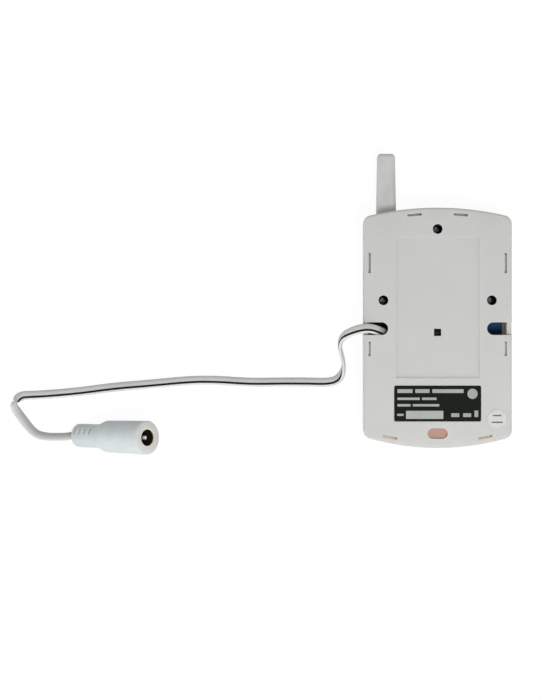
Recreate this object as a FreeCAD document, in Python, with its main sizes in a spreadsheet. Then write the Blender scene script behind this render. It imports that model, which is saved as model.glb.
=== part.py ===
import FreeCAD, Part
import math
import os
import types
import Sketcher
from FreeCAD import Placement, Rotation, Vector

# Glass break sensor: a two-part moulded case with a circuit board, an antenna stub and a flat
# power lead that ends in an in-line socket. Millimetres and degrees.
# The case lies on its front: +Z is the back's outward normal, +Y points along the antenna and
# the lead leaves on the -X side. The origin is the middle of the front face.

SIZES = {
    # Case outline: straight sides between two shallow arcs
    "body_width": 55.0,
    "body_height": 89.0,
    "body_depth": 24.0,
    "top_arc": 110.0,
    "bottom_arc": 93.0,
    "corner_round": 3.2,
    "front_round": 3.0,
    "shell_taper": 1.6,
    "back_round": 0.8,
    "wall": 1.8,
    "front_thickness": 2.0,
    "plate_thickness": 2.0,
    # Locating lip under the back plate
    "lip_gap": 0.1,
    "lip_thickness": 1.1,
    "lip_height": 2.4,
    # Snap hooks, each under a slot in the back plate
    "slot_inset": 2.3,
    "slot_width": 0.85,
    "end_slot_length": 5.2,
    "upper_slot_length": 7.3,
    "lower_slot_length": 5.3,
    "upper_slot_y": 23.95,
    "lower_slot_y": -7.75,
    "top_slot_angle": 4.55,
    "bottom_slot_angle": 11.2,
    "slot_end_gap": 0.5,
    "beam_thickness": 1.1,
    "beam_length": 3.6,
    "barb_height": 1.1,
    "catch_reach": 0.7,
    "catch_height": 0.9,
    "catch_gap": 0.1,
    "catch_root": 0.3,
    "barb_side_gap": 0.1,
    "catch_side_gap": 0.2,
    # Case screws and the bosses that clamp the board
    "top_screw_inset": 7.9,
    "side_screw_inset": 7.45,
    "side_screw_y": 10.2,
    "boss_radius": 3.2,
    "boss_height": 8.0,
    "head_bore_radius": 1.8,
    "seat_web": 2.0,
    "shank_bore_radius": 1.15,
    "screw_head_radius": 1.7,
    "screw_head_height": 1.4,
    "screw_shank_radius": 0.95,
    "screw_shank_length": 8.6,
    "screw_bore_gap": 0.02,
    "pilot_depth": 7.0,
    "cross_reach": 1.05,
    "cross_width": 0.48,
    "cross_depth": 0.84,
    "screw_bevel": 0.5,
    # Details of the back plate
    "recess_width": 31.0,
    "recess_height": 52.2,
    "recess_y": 7.55,
    "recess_depth": 0.4,
    "notch_y": -0.3,
    "notch_radius": 2.33,
    "notch_length": 9.2,
    "tamper_y": -1.65,
    "tamper_hole": 2.65,
    "latch_inset": 5.4,
    "latch_length": 7.4,
    "latch_width": 3.8,
    "latch_depth": 1.2,
    "label_width": 32.1,
    "label_height": 13.2,
    "label_inset": 16.5,
    "label_thickness": 0.15,
    "label_round": 0.6,
    "label_gap": 0.1,
    "sticker_radius": 3.5,
    "sticker_side_inset": 5.5,
    "sticker_end_inset": 10.8,
    "sticker_thickness": 0.1,
    # Circuit board
    "board_gap": 0.8,
    "board_thickness": 1.6,
    "board_round": 1.2,
    "board_hole_radius": 1.3,
    "peg_side_inset": 11.5,
    "peg_end_inset": 11.5,
    "peg_radius": 0.9,
    "peg_gap": 0.1,
    "peg_height": 2.4,
    "post_radius": 2.4,
    # Antenna stub
    "antenna_inset": 8.9,
    "antenna_reach": 20.7,
    "antenna_base_width": 7.6,
    "antenna_tip_width": 6.6,
    "antenna_base_depth": 6.2,
    "antenna_round": 1.5,
    "antenna_tip_round": 1.5,
    "antenna_bore_radius": 1.7,
    "antenna_tip_wall": 2.2,
    "antenna_hole_gap": 0.1,
    "flange_inset": 6.5,
    "flange_thickness": 1.4,
    "flange_width": 10.6,
    "flange_height": 8.4,
    "flange_gap": 0.1,
    "seat_margin": 0.8,
    "wire_radius": 0.5,
    "wire_solder_length": 4.5,
    "wire_tip_gap": 1.0,
    # Sound inlet and microphone
    "mic_y": 20.0,
    "mic_radius": 4.85,
    "mic_height": 6.0,
    "mic_port_radius": 1.2,
    "mic_port_depth": 0.6,
    "mic_pin_radius": 0.25,
    "mic_pin_pitch": 2.54,
    "inlet_hole_radius": 0.75,
    "inlet_circle": 2.4,
    "gauze_radius": 5.0,
    "gauze_thickness": 0.2,
    "boot_wall": 1.1,
    "boot_lip": 0.6,
    "boot_port_radius": 2.9,
    "boot_height": 5.0,
    "boot_gap": 0.1,
    "collar_wall": 1.1,
    "collar_height": 3.2,
    # Indicator lamps behind their window
    "window_y": -14.0,
    "window_length": 10.0,
    "window_width": 3.6,
    "window_gap": 0.08,
    "window_flange": 1.0,
    "window_flange_thickness": 0.9,
    "lamp_pitch": 5.4,
    "lamp_radius": 1.5,
    "lamp_length": 5.3,
    "lamp_rim_radius": 1.9,
    "lamp_rim_height": 1.0,
    "lamp_air": 0.25,
    "lamp_lead": 0.5,
    "lamp_lead_pitch": 2.54,
    # Tamper switch
    "switch_side": 6.0,
    "switch_height": 3.5,
    "switch_cap": 0.3,
    "stem_radius": 1.7,
    "stem_gap": 0.25,
    "stem_top": 8.0,
    "stem_travel": 0.5,
    "stem_stop": 0.1,
    "stem_depth": 0.8,
    # Power header and its plug
    "header_x": -9.8,
    "header_y": -3.3,
    "header_length": 6.5,
    "header_width": 6.0,
    "header_height": 4.6,
    "header_wall": 0.8,
    "header_back": 1.4,
    "plug_gap": 0.12,
    "plug_outside": 3.2,
    "pin_side": 0.5,
    "pin_pitch": 2.0,
    "pin_length": 3.6,
    "pin_gap": 0.15,
    "pin_tip_gap": 0.3,
    # Radio board on its pin strip
    "radio_x": -13.5,
    "radio_y": 25.2,
    "radio_width": 16.0,
    "radio_height": 13.0,
    "radio_thickness": 1.0,
    "strip_height": 2.5,
    "strip_width": 2.5,
    "resonator_radius": 4.6,
    "resonator_height": 3.2,
    "resonator_rim": 0.5,
    "resonator_margin": 0.6,
    # Chips on the boards
    "processor_x": 13.0,
    "processor_y": 26.0,
    "processor_length": 10.2,
    "processor_width": 7.4,
    "processor_height": 2.2,
    "amplifier_x": 8.0,
    "amplifier_y": -10.5,
    "radio_chip_x": 4.9,
    "radio_chip_y": 1.6,
    "small_chip_length": 4.9,
    "small_chip_width": 3.9,
    "small_chip_height": 1.4,
    "chip_pitch": 1.27,
    "chip_stand": 0.2,
    "chip_leg_reach": 0.9,
    "chip_leg_width": 0.4,
    "chip_leg_rise": 0.9,
    # Crystal, capacitors, regulator and diode
    "crystal_x": 4.8,
    "crystal_y": 20.0,
    "crystal_width": 4.4,
    "crystal_length": 10.8,
    "crystal_height": 3.4,
    "crystal_round": 2.0,
    "input_capacitor_x": -15.5,
    "input_capacitor_y": -13.5,
    "input_capacitor_radius": 3.15,
    "input_capacitor_height": 7.0,
    "output_capacitor_x": -7.0,
    "output_capacitor_y": -17.0,
    "output_capacitor_radius": 2.5,
    "output_capacitor_height": 6.5,
    "audio_capacitor_x": 14.5,
    "audio_capacitor_y": -12.5,
    "audio_capacitor_radius": 2.0,
    "audio_capacitor_height": 5.5,
    "capacitor_base": 0.8,
    "capacitor_inset": 0.1,
    "regulator_x": 2.25,
    "regulator_y": -24.5,
    "regulator_width": 6.5,
    "regulator_length": 6.1,
    "regulator_height": 2.2,
    "regulator_stand": 0.1,
    "regulator_tab_width": 5.3,
    "regulator_tab_length": 2.2,
    "regulator_tab_thickness": 0.6,
    "regulator_leg_pitch": 2.3,
    "regulator_leg_width": 0.8,
    "regulator_leg_length": 2.4,
    "regulator_leg_height": 0.9,
    "diode_x": -20.5,
    "diode_y": -22.0,
    "diode_radius": 1.35,
    "diode_length": 5.2,
    "diode_wire_radius": 0.4,
    "diode_wire_length": 9.2,
    # Power lead and its in-line socket
    "lead_diameter": 2.3,
    "socket_tilt": 44.0,
    "socket_length": 38.0,
    "socket_neck_radius": 4.45,
    "socket_shoulder_radius": 5.95,
    "socket_face_radius": 6.25,
    "socket_neck": 12.2,
    "socket_shoulder": 16.8,
    "socket_rear_bevel": 0.8,
    "socket_face_bevel": 0.5,
    "contact_radius": 3.35,
    "contact_wall": 0.2,
    "contact_depth": 12.0,
    "contact_inset": 0.15,
    "liner_wall": 0.2,
    "liner_inset": 0.5,
    "liner_floor": 2.0,
    "centre_pin_radius": 1.05,
    "centre_pin_inset": 1.2,
    "pin_tip_radius": 0.65,
    "pin_tip_length": 0.5,
    "groove_width": 0.9,
    "groove_depth": 0.6,
    "groove_pitch": 2.8,
    "groove_first": 2.1,
    "groove_length": 2.4,
    "groove_roll": 65.0,
}

# Route of the power lead, from the plug through the case's left notch, down to the floor and
# round to the rear of the socket. Control points chosen along the lead.
LEAD_ROUTE = [
    (-16.4, -3.3, 13.9),
    (-19.4, -2.5, 15.2),
    (-21.7, -0.9, 17.9),
    (-23.5, 0.4, 21.5),
    (-26.0, 0.6, 24.4),
    (-29.3, 0.1, 25.4),
    (-32.4, -1.2, 24.0),
    (-34.9, -3.1, 20.6),
    (-36.1, -5.6, 16.4),
    (-35.8, -8.4, 11.8),
    (-34.8, -11.4, 7.5),
    (-34.2, -14.2, 4.1),
    (-34.0, -16.9, 1.8),
    (-35.1, -19.2, 1.15),
    (-37.6, -20.4, 1.15),
    (-41.4, -20.4, 1.15),
    (-48.0, -20.1, 1.15),
    (-58.0, -20.1, 1.15),
    (-70.0, -20.4, 1.15),
    (-82.0, -19.4, 1.15),
    (-93.0, -19.5, 1.15),
    (-107.0, -20.9, 1.15),
    (-121.0, -22.0, 1.15),
    (-134.0, -23.8, 1.15),
    (-145.5, -24.6, 1.15),
    (-152.6, -25.0, 1.15),
    (-156.8, -25.3, 1.15),
    (-159.0, -26.2, 1.15),
    (-159.7, -28.4, 1.15),
    (-158.3, -31.0, 1.15),
    (-156.1, -34.4, 1.15),
    (-153.8, -37.9, 1.15),
    (-150.6, -40.2, 1.15),
    (-146.4, -40.9, 1.15),
    (-142.0, -40.6, 1.15),
    (-138.9, -40.5, 1.15),
]
GROOVE_ROWS = 4
INLET_HOLES = 6
SOCKET_X = -134.4
SOCKET_Y = -40.5


class Value:
    """A number together with the expression that a property is bound to."""

    def __init__(self, number, text):
        self.number = number
        self.text = text

    def __add__(self, other):
        return Value(self.number + plain(other), f"({self.text} + {spell(other)})")

    def __radd__(self, other):
        return Value(plain(other) + self.number, f"({spell(other)} + {self.text})")

    def __sub__(self, other):
        return Value(self.number - plain(other), f"({self.text} - {spell(other)})")

    def __rsub__(self, other):
        return Value(plain(other) - self.number, f"({spell(other)} - {self.text})")

    def __mul__(self, other):
        return Value(self.number * plain(other), f"({self.text} * {spell(other)})")

    def __rmul__(self, other):
        return Value(plain(other) * self.number, f"({spell(other)} * {self.text})")

    def __truediv__(self, other):
        return Value(self.number / plain(other), f"({self.text} / {spell(other)})")

    def __neg__(self):
        return Value(-self.number, f"(0 - {self.text})")


def plain(item):
    """The number of a value or of a plain number."""
    return item.number if isinstance(item, Value) else float(item)


def spell(item):
    """The text of a value or of a plain number."""
    return item.text if isinstance(item, Value) else f"({float(item):.6f})"


def slope_angle(rise, run):
    """The angle in degrees of a slope that rises so much over a run."""
    number = math.degrees(math.atan(plain(rise) / plain(run)))
    return Value(number, f"atan({spell(rise)} / {spell(run)})")


doc = FreeCAD.newDocument("GlassBreakSensor")
sheet = doc.addObject("Spreadsheet::Sheet", "Sizes")
for row, (alias, number) in enumerate(SIZES.items(), start=1):
    sheet.set(f"A{row}", alias)
    sheet.set(f"B{row}", str(number))
    sheet.setAlias(f"B{row}", alias)
doc.recompute()
S = types.SimpleNamespace(**{name: Value(number, f"Sizes.{name}") for name, number in SIZES.items()})

# Levels and places that several pieces share
HALF_WIDTH = S.body_width / 2
HALF_HEIGHT = S.body_height / 2
TOP_CENTRE = HALF_HEIGHT - S.top_arc
BOTTOM_CENTRE = S.bottom_arc - HALF_HEIGHT
SEAM = S.body_depth - S.plate_thickness
BOARD_LOW = S.front_thickness + S.boss_height
BOARD_TOP = BOARD_LOW + S.board_thickness
ANTENNA_Z = BOARD_TOP + S.wire_radius
SEAT_Z = BOARD_TOP + S.seat_web
SIDE_SCREW_X = HALF_WIDTH - S.side_screw_inset
TOP_SCREW_Y = HALF_HEIGHT - S.top_screw_inset
SCREWS = ((0, TOP_SCREW_Y), (SIDE_SCREW_X, S.side_screw_y), (-SIDE_SCREW_X, S.side_screw_y))
PEG_X = HALF_WIDTH - S.peg_side_inset
PEG_Y = S.peg_end_inset - HALF_HEIGHT
ANTENNA_X = S.antenna_inset - HALF_WIDTH
ANTENNA_TIP = HALF_HEIGHT + S.antenna_reach
FLANGE_Y = HALF_HEIGHT - S.flange_inset
LATCH_Y = S.latch_inset - HALF_HEIGHT
LABEL_Y = S.label_inset - HALF_HEIGHT
STICKER_X = HALF_WIDTH - S.sticker_side_inset
STICKER_Y = S.sticker_end_inset - HALF_HEIGHT
nodes = {}


def bind(item, name, value):
    """Ties one property of an object to a value."""
    item.setExpression(name, spell(value))


def bind_base(item, place, point):
    """Ties the three coordinates of a placement to values."""
    for axis, value in zip("xyz", point):
        bind(item, f"{place}.Base.{axis}", value)


def keep(name, item):
    """Names a finished sub-part."""
    item.Label = name
    nodes[name] = item
    return item


def new_body(name):
    """An empty body, named as its node."""
    return keep(name, doc.addObject("PartDesign::Body", name))


def new_sketch(body, name, height=0, role="XY_Plane", centre_y=0, turn=0):
    """A sketch parallel to an origin plane, raised, shifted along Y and turned about its normal."""
    item = body.newObject("Sketcher::SketchObject", name)
    support = [plane for plane in body.Origin.OriginFeatures if plane.Role == role]
    item.AttachmentSupport = [(support[0], "")]
    item.MapMode = "FlatFace"
    item.AttachmentOffset = Placement(Vector(0, 0, 0), Rotation(Vector(0, 0, 1), plain(turn)))
    bind(item, "AttachmentOffset.Base.y", centre_y)
    bind(item, "AttachmentOffset.Base.z", height)
    if isinstance(turn, Value):
        bind(item, "AttachmentOffset.Rotation.Angle", turn)
    return item


def fix_point(sketch, shape, point, x, y):
    """Ties a point of the sketch to two values measured from the sketch's origin."""
    for kind, value, axis in (("DistanceX", x, -2), ("DistanceY", y, -1)):
        if isinstance(value, Value):
            number = sketch.addConstraint(Sketcher.Constraint(kind, -1, 1, shape, point, value.number))
            sketch.setExpression(f"Constraints[{number}]", value.text)
        elif value == 0:
            sketch.addConstraint(Sketcher.Constraint("PointOnObject", shape, point, axis))
        else:
            sketch.addConstraint(Sketcher.Constraint(kind, -1, 1, shape, point, float(value)))


def fix_radius(sketch, shape, radius):
    """Ties the radius of a circle or an arc to a value."""
    number = sketch.addConstraint(Sketcher.Constraint("Radius", shape, plain(radius)))
    sketch.setExpression(f"Constraints[{number}]", spell(radius))


def add_line(sketch, start, end):
    """A line between two numeric points of the sketch."""
    return sketch.addGeometry(Part.LineSegment(Vector(*start, 0), Vector(*end, 0)))


def add_arc(sketch, centre, radius, start, end):
    """An arc, counter-clockwise between two angles in radians."""
    circle = Part.Circle(Vector(*centre, 0), Vector(0, 0, 1), radius)
    return sketch.addGeometry(Part.ArcOfCircle(circle, start, end))


def draw_rectangle(sketch, x0, y0, x1, y1):
    """A rectangle between two opposite corners."""
    left, low, right, high = plain(x0), plain(y0), plain(x1), plain(y1)
    corners = ((left, low), (right, low), (right, high), (left, high))
    sides = [add_line(sketch, corners[i], corners[(i + 1) % 4]) for i in range(4)]
    for i in range(4):
        sketch.addConstraint(Sketcher.Constraint("Coincident", sides[i], 2, sides[(i + 1) % 4], 1))
    for side, kind in zip(sides, ("Horizontal", "Vertical", "Horizontal", "Vertical")):
        sketch.addConstraint(Sketcher.Constraint(kind, side))
    fix_point(sketch, sides[0], 1, x0, y0)
    fix_point(sketch, sides[2], 1, x1, y1)


def draw_circle(sketch, x, y, radius):
    """A circle round a point."""
    shape = sketch.addGeometry(Part.Circle(Vector(plain(x), plain(y), 0), Vector(0, 0, 1), plain(radius)))
    fix_radius(sketch, shape, radius)
    fix_point(sketch, shape, 3, x, y)


def draw_obround(sketch, x0, x1, y, radius):
    """A slot with round ends, whose centres lie at x0 and x1."""
    a, b, c, r = plain(x0), plain(x1), plain(y), plain(radius)
    upper = add_line(sketch, (a, c + r), (b, c + r))
    lower = add_line(sketch, (b, c - r), (a, c - r))
    right = add_arc(sketch, (b, c), r, -math.pi / 2, math.pi / 2)
    left = add_arc(sketch, (a, c), r, math.pi / 2, 3 * math.pi / 2)
    for pair in ((upper, 2, right, 2), (right, 1, lower, 1), (lower, 2, left, 2), (left, 1, upper, 1)):
        sketch.addConstraint(Sketcher.Constraint("Tangent", *pair))
    sketch.addConstraint(Sketcher.Constraint("Equal", left, right))
    fix_radius(sketch, left, radius)
    fix_point(sketch, left, 3, x0, y)
    fix_point(sketch, right, 3, x1, y)


def draw_outline(sketch, inset):
    """The case outline moved inwards: two straight sides between the top and the bottom arc."""
    half = HALF_WIDTH - inset
    arcs = ((S.top_arc - inset, TOP_CENTRE, 1), (S.bottom_arc - inset, BOTTOM_CENTRE, -1))
    reach = [plain(radius) ** 2 - plain(half) ** 2 for radius, centre, side in arcs]
    top = plain(TOP_CENTRE) + math.sqrt(reach[0])
    low = plain(BOTTOM_CENTRE) - math.sqrt(reach[1])
    side = plain(half)
    right = add_line(sketch, (side, low), (side, top))
    lean = math.asin(side / plain(S.top_arc - inset))
    upper = add_arc(sketch, (0, plain(TOP_CENTRE)), plain(S.top_arc - inset),
                    math.pi / 2 - lean, math.pi / 2 + lean)
    left = add_line(sketch, (-side, top), (-side, low))
    lean = math.asin(side / plain(S.bottom_arc - inset))
    lower = add_arc(sketch, (0, plain(BOTTOM_CENTRE)), plain(S.bottom_arc - inset),
                    3 * math.pi / 2 - lean, 3 * math.pi / 2 + lean)
    for pair in ((right, 2, upper, 1), (upper, 2, left, 1), (left, 2, lower, 1), (lower, 2, right, 1)):
        sketch.addConstraint(Sketcher.Constraint("Coincident", *pair))
    for line in (right, left):
        sketch.addConstraint(Sketcher.Constraint("Vertical", line))
    for line, value in ((right, half), (left, -half)):
        number = sketch.addConstraint(Sketcher.Constraint("DistanceX", -1, 1, line, 1, plain(value)))
        sketch.setExpression(f"Constraints[{number}]", value.text)
    fix_radius(sketch, upper, S.top_arc - inset)
    fix_radius(sketch, lower, S.bottom_arc - inset)
    fix_point(sketch, upper, 3, 0, TOP_CENTRE)
    fix_point(sketch, lower, 3, 0, BOTTOM_CENTRE)


def draw_seat(sketch, x0, x1, y, radius):
    """A block against the top wall: three straight sides, and an arc about the top arc's centre."""
    left, right, low = plain(x0), plain(x1), plain(y)
    middle, reach = plain(TOP_CENTRE), plain(radius)
    tops = [middle + math.sqrt(reach ** 2 - x ** 2) for x in (left, right)]
    base = add_line(sketch, (left, low), (right, low))
    near = add_line(sketch, (right, low), (right, tops[1]))
    arc = add_arc(sketch, (0, middle), reach, math.atan2(tops[1] - middle, right),
                  math.atan2(tops[0] - middle, left))
    far = add_line(sketch, (left, tops[0]), (left, low))
    for pair in ((base, 2, near, 1), (near, 2, arc, 1), (arc, 2, far, 1), (far, 2, base, 1)):
        sketch.addConstraint(Sketcher.Constraint("Coincident", *pair))
    sketch.addConstraint(Sketcher.Constraint("Vertical", near))
    sketch.addConstraint(Sketcher.Constraint("Vertical", far))
    fix_radius(sketch, arc, radius)
    fix_point(sketch, arc, 3, 0, TOP_CENTRE)
    fix_point(sketch, base, 1, x0, y)
    fix_point(sketch, base, 2, x1, y)


def add_pad(body, sketch, length, downward=False):
    """Adds material on a sketch, along its normal or against it."""
    item = body.newObject("PartDesign::Pad", sketch.Name + "_pad")
    item.Profile = sketch
    item.Reversed = downward
    bind(item, "Length", length)
    doc.recompute()
    return item


def cut_pocket(body, sketch, depth, upward=False):
    """Removes material below a sketch, or above it, and makes sure that some went."""
    before = body.Shape.Volume
    item = body.newObject("PartDesign::Pocket", sketch.Name + "_cut")
    item.Profile = sketch
    item.Reversed = upward
    bind(item, "Length", depth)
    doc.recompute()
    if body.Shape.Volume >= before - 1e-6:
        raise RuntimeError(f"{sketch.Name} cuts nothing")
    return item


def add_taper(body, name, feature, neutral, angle, downward=False):
    """Leans a feature's upright faces, so that it narrows away from a neutral plane."""
    item = body.newObject("PartDesign::Draft", name)
    sides = [i for i, face in enumerate(feature.Shape.Faces, start=1) if face.BoundBox.ZLength > 1]
    item.Base = (feature, [f"Face{i}" for i in sides])
    item.NeutralPlane = neutral
    item.Reversed = downward
    bind(item, "Angle", angle)
    doc.recompute()
    return item


def mirror(body, name, features):
    """Repeats features on the other side of the YZ plane."""
    item = body.newObject("PartDesign::Mirrored", name)
    item.Originals = features
    support = [plane for plane in body.Origin.OriginFeatures if plane.Role == "YZ_Plane"]
    item.MirrorPlane = (support[0], [""])
    body.Tip = item
    doc.recompute()
    return item


def round_edges(body, name, radius, wanted):
    """Rounds the edges of the body's last feature that a test picks."""
    edges = [f"Edge{i}" for i, edge in enumerate(body.Tip.Shape.Edges, start=1) if wanted(edge)]
    item = body.newObject("PartDesign::Fillet", name)
    item.Base = (body.Tip if body.Tip != item else item.BaseFeature, edges)
    bind(item, "Radius", radius)
    doc.recompute()
    return item


def at_level(shape, level):
    """True for an edge or a face that lies flat at a level."""
    box = shape.BoundBox
    return abs(box.ZMin - plain(level)) < 1e-4 and abs(box.ZMax - plain(level)) < 1e-4


def at_corner(edge, half):
    """True for a straight edge along Z at one of the outline's four corners."""
    box = edge.BoundBox
    upright = box.XLength < 1e-4 and box.YLength < 1e-4 and box.ZLength > 0.5
    return upright and abs(abs(box.XMin) - plain(half)) < 1e-3


def block(name, low, high):
    """A plain box between two opposite corners."""
    item = doc.addObject("Part::Box", name)
    for side, start, end in zip(("Length", "Width", "Height"), low, high):
        bind(item, side, end - start)
    bind_base(item, "Placement", low)
    return item


def rod(name, foot, radius, length, along="Z"):
    """A cylinder that starts at its foot and runs along an axis."""
    item = doc.addObject("Part::Cylinder", name)
    bind(item, "Radius", radius)
    bind(item, "Height", length)
    turns = {"X": (Vector(0, 1, 0), 90), "Y": (Vector(1, 0, 0), -90), "Z": (Vector(0, 0, 1), 0)}
    item.Placement = Placement(Vector(0, 0, 0), Rotation(*turns[along]))
    bind_base(item, "Placement", foot)
    return item


def fuse(name, pieces):
    """Joins primitives into one solid."""
    item = doc.addObject("Part::MultiFuse", name)
    item.Shapes = pieces
    item.Refine = True
    return item


def cut(name, base, tool):
    """Takes one primitive out of another."""
    item = doc.addObject("Part::Cut", name)
    item.Base = base
    item.Tool = tool
    return item


def build_hook(body, name, frame, slot):
    """A slot through the back plate with its beam and barb below; returns the features.

    frame places the sketches, and slot gives the slot's corners and the beam's corners.
    """
    window, opening, beam, barb = slot
    drawn = {}
    levels = {"window": SEAM, "beam": SEAM, "barb": SEAM - S.beam_length, "opening": S.body_depth}
    corners = {"window": window, "beam": beam, "barb": barb, "opening": opening}
    for part, level in levels.items():
        drawn[part] = new_sketch(body, f"{name}_{part}", level, **frame)
        draw_rectangle(drawn[part], *corners[part])
    return [
        cut_pocket(body, drawn["window"], S.lip_height + S.lip_gap),
        add_pad(body, drawn["beam"], S.beam_length, downward=True),
        add_pad(body, drawn["barb"], S.barb_height),
        cut_pocket(body, drawn["opening"], S.plate_thickness),
    ]


def across(reach, half_length, low, high, side):
    """Corners of a rectangle across an arc's radius, between two insets from the outline."""
    if side > 0:
        return (-half_length, reach - high, half_length, reach - low)
    return (-half_length, low - reach, half_length, high - reach)


def end_rectangles(reach, side, spans, half_length):
    """The rectangles of a hook at an end of the case, from their spans of inset."""
    shapes = []
    for low, high, extra in spans:
        shapes.append(across(reach, half_length + extra, low, high, side))
    return shapes


def side_rectangles(y, spans, half_length):
    """The rectangles of a hook at the case's right side, from their spans of inset."""
    shapes = []
    for low, high, extra in spans:
        half = half_length + extra
        shapes.append((HALF_WIDTH - high, y - half, HALF_WIDTH - low, y + half))
    return shapes


SLOT_LOW = S.slot_inset - S.slot_width / 2
SLOT_HIGH = S.slot_inset + S.slot_width / 2
BEAM_HIGH = SLOT_HIGH + S.beam_thickness
HOOK_SPANS = (
    (S.wall, S.wall + S.lip_gap * 2 + S.lip_thickness, S.slot_end_gap),
    (SLOT_LOW, SLOT_HIGH, 0),
    (SLOT_HIGH, BEAM_HIGH, 0),
    (SLOT_LOW, SLOT_HIGH, -S.barb_side_gap),
)
TOP_FRAME = {"centre_y": TOP_CENTRE, "turn": -S.top_slot_angle}
BOTTOM_FRAME = {"centre_y": BOTTOM_CENTRE, "turn": S.bottom_slot_angle}
HOOKS = {
    "upper_side": ({}, side_rectangles(S.upper_slot_y, HOOK_SPANS, S.upper_slot_length / 2)),
    "lower_side": ({}, side_rectangles(S.lower_slot_y, HOOK_SPANS, S.lower_slot_length / 2)),
    "top_end": (TOP_FRAME, end_rectangles(S.top_arc, 1, HOOK_SPANS, S.end_slot_length / 2)),
    "bottom_end": (BOTTOM_FRAME, end_rectangles(S.bottom_arc, -1, HOOK_SPANS, S.end_slot_length / 2)),
}
CATCH_SPAN = ((S.wall - S.catch_root, S.wall + S.catch_reach, -S.catch_side_gap),)
CATCHES = {
    "upper_catch": ({}, side_rectangles(S.upper_slot_y, CATCH_SPAN, S.upper_slot_length / 2)[0]),
    "lower_catch": ({}, side_rectangles(S.lower_slot_y, CATCH_SPAN, S.lower_slot_length / 2)[0]),
    "top_catch": (TOP_FRAME, end_rectangles(S.top_arc, 1, CATCH_SPAN, S.end_slot_length / 2)[0]),
    "bottom_catch": (BOTTOM_FRAME, end_rectangles(S.bottom_arc, -1, CATCH_SPAN, S.end_slot_length / 2)[0]),
}


def draw_screw_circles(sketch, radius):
    """One circle at each case screw."""
    for x, y in SCREWS:
        draw_circle(sketch, x, y, radius)


def build_rear_cover():
    """The moulded back plate: lip, hooks under slots, screw tubes, notches, recesses and openings."""
    body = new_body("rear_cover")
    plate = new_sketch(body, "plate_outline", SEAM)
    draw_outline(plate, 0)
    add_pad(body, plate, S.plate_thickness)
    round_edges(body, "plate_corners", S.corner_round, lambda edge: at_corner(edge, HALF_WIDTH))
    round_edges(body, "plate_rim", S.back_round, lambda edge: at_level(edge, S.body_depth))

    lip = new_sketch(body, "lip_ring", SEAM)
    draw_outline(lip, S.wall + S.lip_gap)
    draw_outline(lip, S.wall + S.lip_gap + S.lip_thickness)
    add_pad(body, lip, S.lip_height, downward=True)
    round_edges(body, "lip_corners", S.corner_round - S.wall - S.lip_gap,
                lambda edge: at_corner(edge, HALF_WIDTH - S.wall - S.lip_gap))

    features = []
    for name, (frame, corners) in HOOKS.items():
        features += build_hook(body, name, frame, corners)
    notch = new_sketch(body, "lead_notch", S.body_depth)
    notch_end = HALF_WIDTH - S.notch_length + S.notch_radius
    draw_obround(notch, notch_end, HALF_WIDTH + S.notch_radius * 2, S.notch_y, S.notch_radius)
    features.append(cut_pocket(body, notch, S.plate_thickness + S.lip_height + S.lip_gap))
    mirror(body, "other_side", features)

    tubes = new_sketch(body, "screw_tubes", SEAM)
    draw_screw_circles(tubes, S.boss_radius)
    add_pad(body, tubes, SEAM - BOARD_TOP, downward=True)
    heads = new_sketch(body, "head_bores", S.body_depth)
    draw_screw_circles(heads, S.head_bore_radius)
    cut_pocket(body, heads, S.body_depth - SEAT_Z)
    shanks = new_sketch(body, "shank_bores", S.body_depth)
    draw_screw_circles(shanks, S.shank_bore_radius)
    cut_pocket(body, shanks, S.body_depth - BOARD_TOP)

    recess = new_sketch(body, "middle_recess", S.body_depth)
    half = S.recess_width / 2
    rise = S.recess_height / 2
    draw_rectangle(recess, -half, S.recess_y - rise, half, S.recess_y + rise)
    cut_pocket(body, recess, S.recess_depth)
    seat = new_sketch(body, "label_seat", S.body_depth)
    half = S.label_width / 2 + S.label_gap
    rise = S.label_height / 2 + S.label_gap
    draw_rectangle(seat, -half, LABEL_Y - rise, half, LABEL_Y + rise)
    cut_pocket(body, seat, S.label_thickness)
    hole = new_sketch(body, "tamper_hole", S.body_depth)
    half = S.tamper_hole / 2
    draw_rectangle(hole, -half, S.tamper_y - half, half, S.tamper_y + half)
    cut_pocket(body, hole, S.plate_thickness)
    latch = new_sketch(body, "latch_pocket", S.body_depth)
    reach = (S.latch_length - S.latch_width) / 2
    draw_obround(latch, -reach, reach, LATCH_Y, S.latch_width / 2)
    cut_pocket(body, latch, S.latch_depth)


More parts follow.
